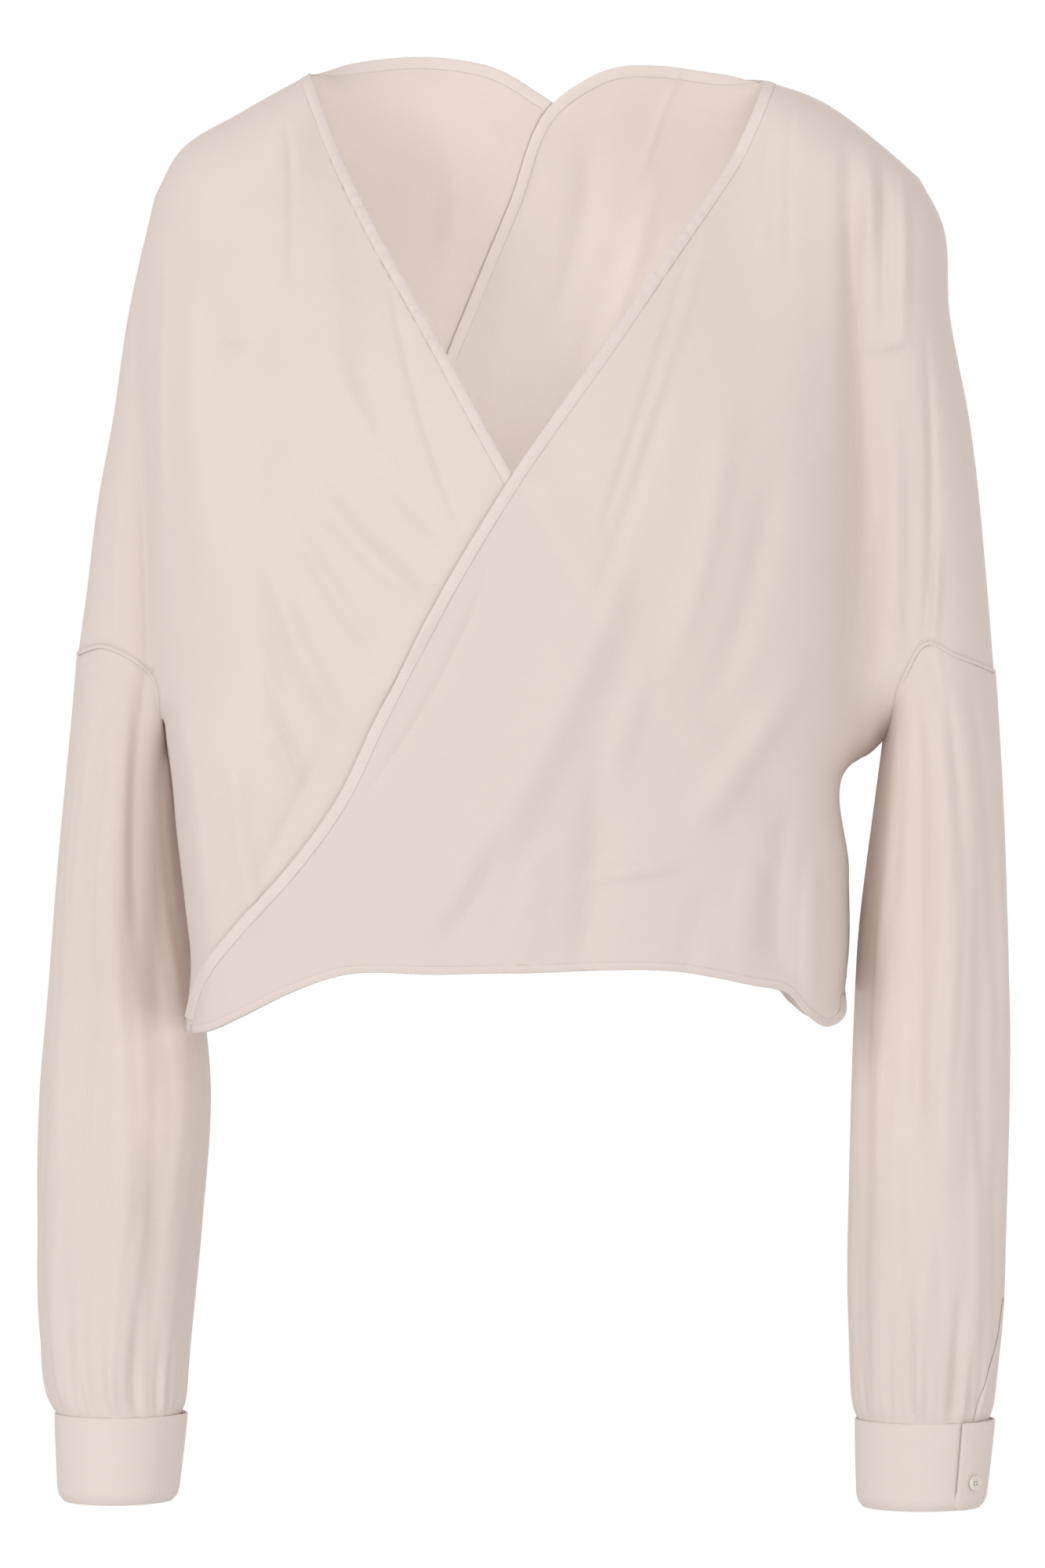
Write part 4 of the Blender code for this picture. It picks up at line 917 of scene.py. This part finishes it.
def placket(name, table, folds, seed, side, top_angle, low_angle, top):
    """Narrow strip lying on the sleeve from the top of the slit down into the cuff."""
    down = np.linspace(0, 1, PLACKET_ROWS)
    down, across = np.meshgrid(down, np.linspace(-1, 1, PLACKET_POINTS), indexing="ij")
    height = top + (CUFF_TOP - 1.0 - top) * down
    ring = np.abs(read_table(table, height, 1) - read_table(table, height, 2)) / 2
    point = np.minimum(1.0, down * 14.0)
    angle = np.radians(top_angle + (low_angle - top_angle) * smooth_step(0, 1, down))
    angle = angle - side * across * point * 0.5 * PLACKET_WIDE / ring
    share = (height - table[0][0]) / (SLEEVE_END - table[0][0])
    crown = 0.5 + 0.25 * np.sqrt(1.0 - across ** 2)
    points = ring_point(table, angle, height, sleeve_swell(angle, share, folds, seed) + crown)
    quads = grid_quads(*down.shape, flip=True)
    return cloth_piece(name, points, quads, cuff_finish, 0.4)


placket_left = placket("placket_left", LEFT_SLEEVE, LEFT_SLEEVE_FOLDS, 11, 1, *LEFT_PLACKET)
placket_right = placket("placket_right", RIGHT_SLEEVE, RIGHT_SLEEVE_FOLDS, 13, -1, *RIGHT_PLACKET)

# Cuff stitching: thread in the cloth's own colour, in one row 2 mm below each cuff's upper edge, one above
# the rounding of its lower edge, and one beside its over end.
UPPER_ROW = 2.0         # below the upper edge
LOWER_ROW = 6.6         # above the lower edge
END_ROW = 3.4           # degrees from the over end
ROW_POINTS, END_ROW_POINTS = 400, 60


def cuff_stitches(name, table, over_end, overlap):
    """Rows of stitches on the outer face of a cuff."""
    around = np.linspace(5, 350, ROW_POINTS)
    swell = cuff_swell(around, overlap) + CUFF_HALF + 0.05
    high, low = CUFF_TOP - UPPER_ROW, CUFF_BOTTOM + LOWER_ROW
    paths = [(around, np.full(ROW_POINTS, height), swell) for height in (high, low)]
    paths.append((np.full(END_ROW_POINTS, END_ROW), np.linspace(high, low + 0.4, END_ROW_POINTS),
                  float(cuff_swell(END_ROW, overlap)) + CUFF_HALF + 0.2))
    rows = []
    for turned, height, swell in paths:
        angle = np.radians(over_end - turned)
        line = ring_point(table, angle, height, swell)
        normal = ring_point(table, angle, height, swell + 1.0) - line
        rows.append(stitch_row(name + str(len(rows)), line, normal))
    return rows


cuff_left_rows = cuff_stitches("cuff_left_row", LEFT_CUFF, *LEFT_CUFF_OVERLAP[:2])
cuff_right_rows = cuff_stitches("cuff_right_row", RIGHT_CUFF, *RIGHT_CUFF_OVERLAP[:2])

# Buttons: turned pearly shirt buttons with a raised rim, a dished face and four holes, sewn on with two
# stitches.
BUTTON_DOWN = 29.0      # below the cuff's upper edge
BUTTON_FACE = 1.62      # height of the dished face
# Profile of a button from the middle of its face to the middle of its back: radius, height
BUTTON_PROFILE = ((0.0, BUTTON_FACE), (1.9, BUTTON_FACE), (2.35, 1.75), (2.75, 2.12), (3.15, 2.2),
                  (3.5, 2.05), (3.72, 1.6), (3.75, 1.1), (3.7, 0.5), (3.3, 0.05), (0.0, 0.0))
BUTTON_STEPS = 72
HOLE_RADIUS = 0.42
HOLE_DEEP = 1.2
HOLE_OUT = 0.7125       # from the middle of the button to a hole, sideways and up
LOOP_RADIUS = 0.24      # of the sewing thread that lies from hole to hole
LOOP_POINTS, LOOP_SIDES = 15, 8


def pearl():
    """Pearly finish: a pale face with slow cloudy streaks and a glossy coat."""
    finish = bpy.data.materials.new("pearl")
    finish.use_nodes = True
    tree = finish.node_tree
    place = add_node(tree, "TexCoord", {}).outputs["Object"]
    cloud = add_node(tree, "TexNoise", {"Scale": 420.0, "Distortion": 1.4, "Vector": place}).outputs["Fac"]
    colour = colour_mix(tree, cloud, (0.60, 0.53, 0.46, 1.0), (0.78, 0.72, 0.66, 1.0))
    feed(tree, tree.nodes["Principled BSDF"],
         {"Base Color": colour, "Roughness": 0.28, "Coat Weight": 0.5, "Coat Roughness": 0.1})
    return finish


pearl_finish = pearl()


def button(node, table, side, over_end, overlap, angle):
    """Button lying on the over end of a cuff, in place of its CAD node: a turned profile with four holes."""
    turn = np.array([math.radians(angle)])
    height = np.array([CUFF_TOP - BUTTON_DOWN])
    swell = float(cuff_swell(abs(over_end - angle), overlap)) + CUFF_HALF + 0.25
    seat = ring_point(table, turn, height, swell)[0]
    half = abs(table[0][1] - table[0][2]) / 2
    out = np.array([side * math.cos(turn[0]) / half, -math.sin(turn[0]) / table[0][4], 0.0])
    out /= np.linalg.norm(out)
    up = np.array([0.0, 0.0, 1.0])
    across = np.cross(out, up)
    knots = np.array(BUTTON_PROFILE)
    step = np.concatenate(([0.0], np.cumsum(np.linalg.norm(np.diff(knots, axis=0), axis=1))))
    face, rim = np.linspace(0.02, step[1], 30), np.linspace(step[1], step[-2], 40)[1:]
    place = np.concatenate((face, rim, [step[-1]]))
    radius, tall = np.interp(place, step, knots[:, 0]), np.interp(place, step, knots[:, 1])
    round_turn = np.linspace(0, 2 * math.pi, BUTTON_STEPS, endpoint=False)
    radius, spin = np.meshgrid(radius, round_turn, indexing="ij")
    tall = np.repeat(tall[:, None], BUTTON_STEPS, axis=1)
    u, v = radius * np.cos(spin), radius * np.sin(spin)
    hole = np.hypot(np.abs(u) - HOLE_OUT, np.abs(v) - HOLE_OUT)
    front = (place < step[2])[:, None]
    tall = tall - np.where(front, HOLE_DEEP * smooth_step(HOLE_RADIUS + 0.08, HOLE_RADIUS - 0.08, hole), 0.0)
    points = seat + u[..., None] * across + v[..., None] * up + tall[..., None] * out
    quads = grid_quads(*radius.shape, closed=True, flip=True)
    flat = np.zeros(points.size // 3 * 2)
    piece = cloth_piece(node + "_turned", points, quads, pearl_finish, 0.0, flat)
    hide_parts(node)
    for sign in (-1, 1):
        share = np.linspace(-1, 1, LOOP_POINTS)
        bow = BUTTON_FACE + 0.32 * np.sqrt(np.clip(1 - (share * 0.9) ** 2, 0, 1))
        bow = bow - 1.0 * smooth_step(0.75, 1.0, np.abs(share))
        line = seat + sign * HOLE_OUT * across + (share * HOLE_OUT)[:, None] * up + bow[:, None] * out
        spin = np.linspace(0, 2 * math.pi, LOOP_SIDES, endpoint=False)
        ring = LOOP_RADIUS * (np.cos(spin)[:, None] * across + np.sin(spin)[:, None] * out)
        tube = line[:, None] + ring[None]
        cloth_piece(node + "_thread" + str(sign), tube, grid_quads(LOOP_POINTS, LOOP_SIDES, closed=True),
                    thread_finish, 0.0, np.zeros(LOOP_POINTS * LOOP_SIDES * 2))


button("button_left", LEFT_CUFF, 1, *LEFT_CUFF_OVERLAP)
button("button_right", RIGHT_CUFF, -1, *RIGHT_CUFF_OVERLAP)
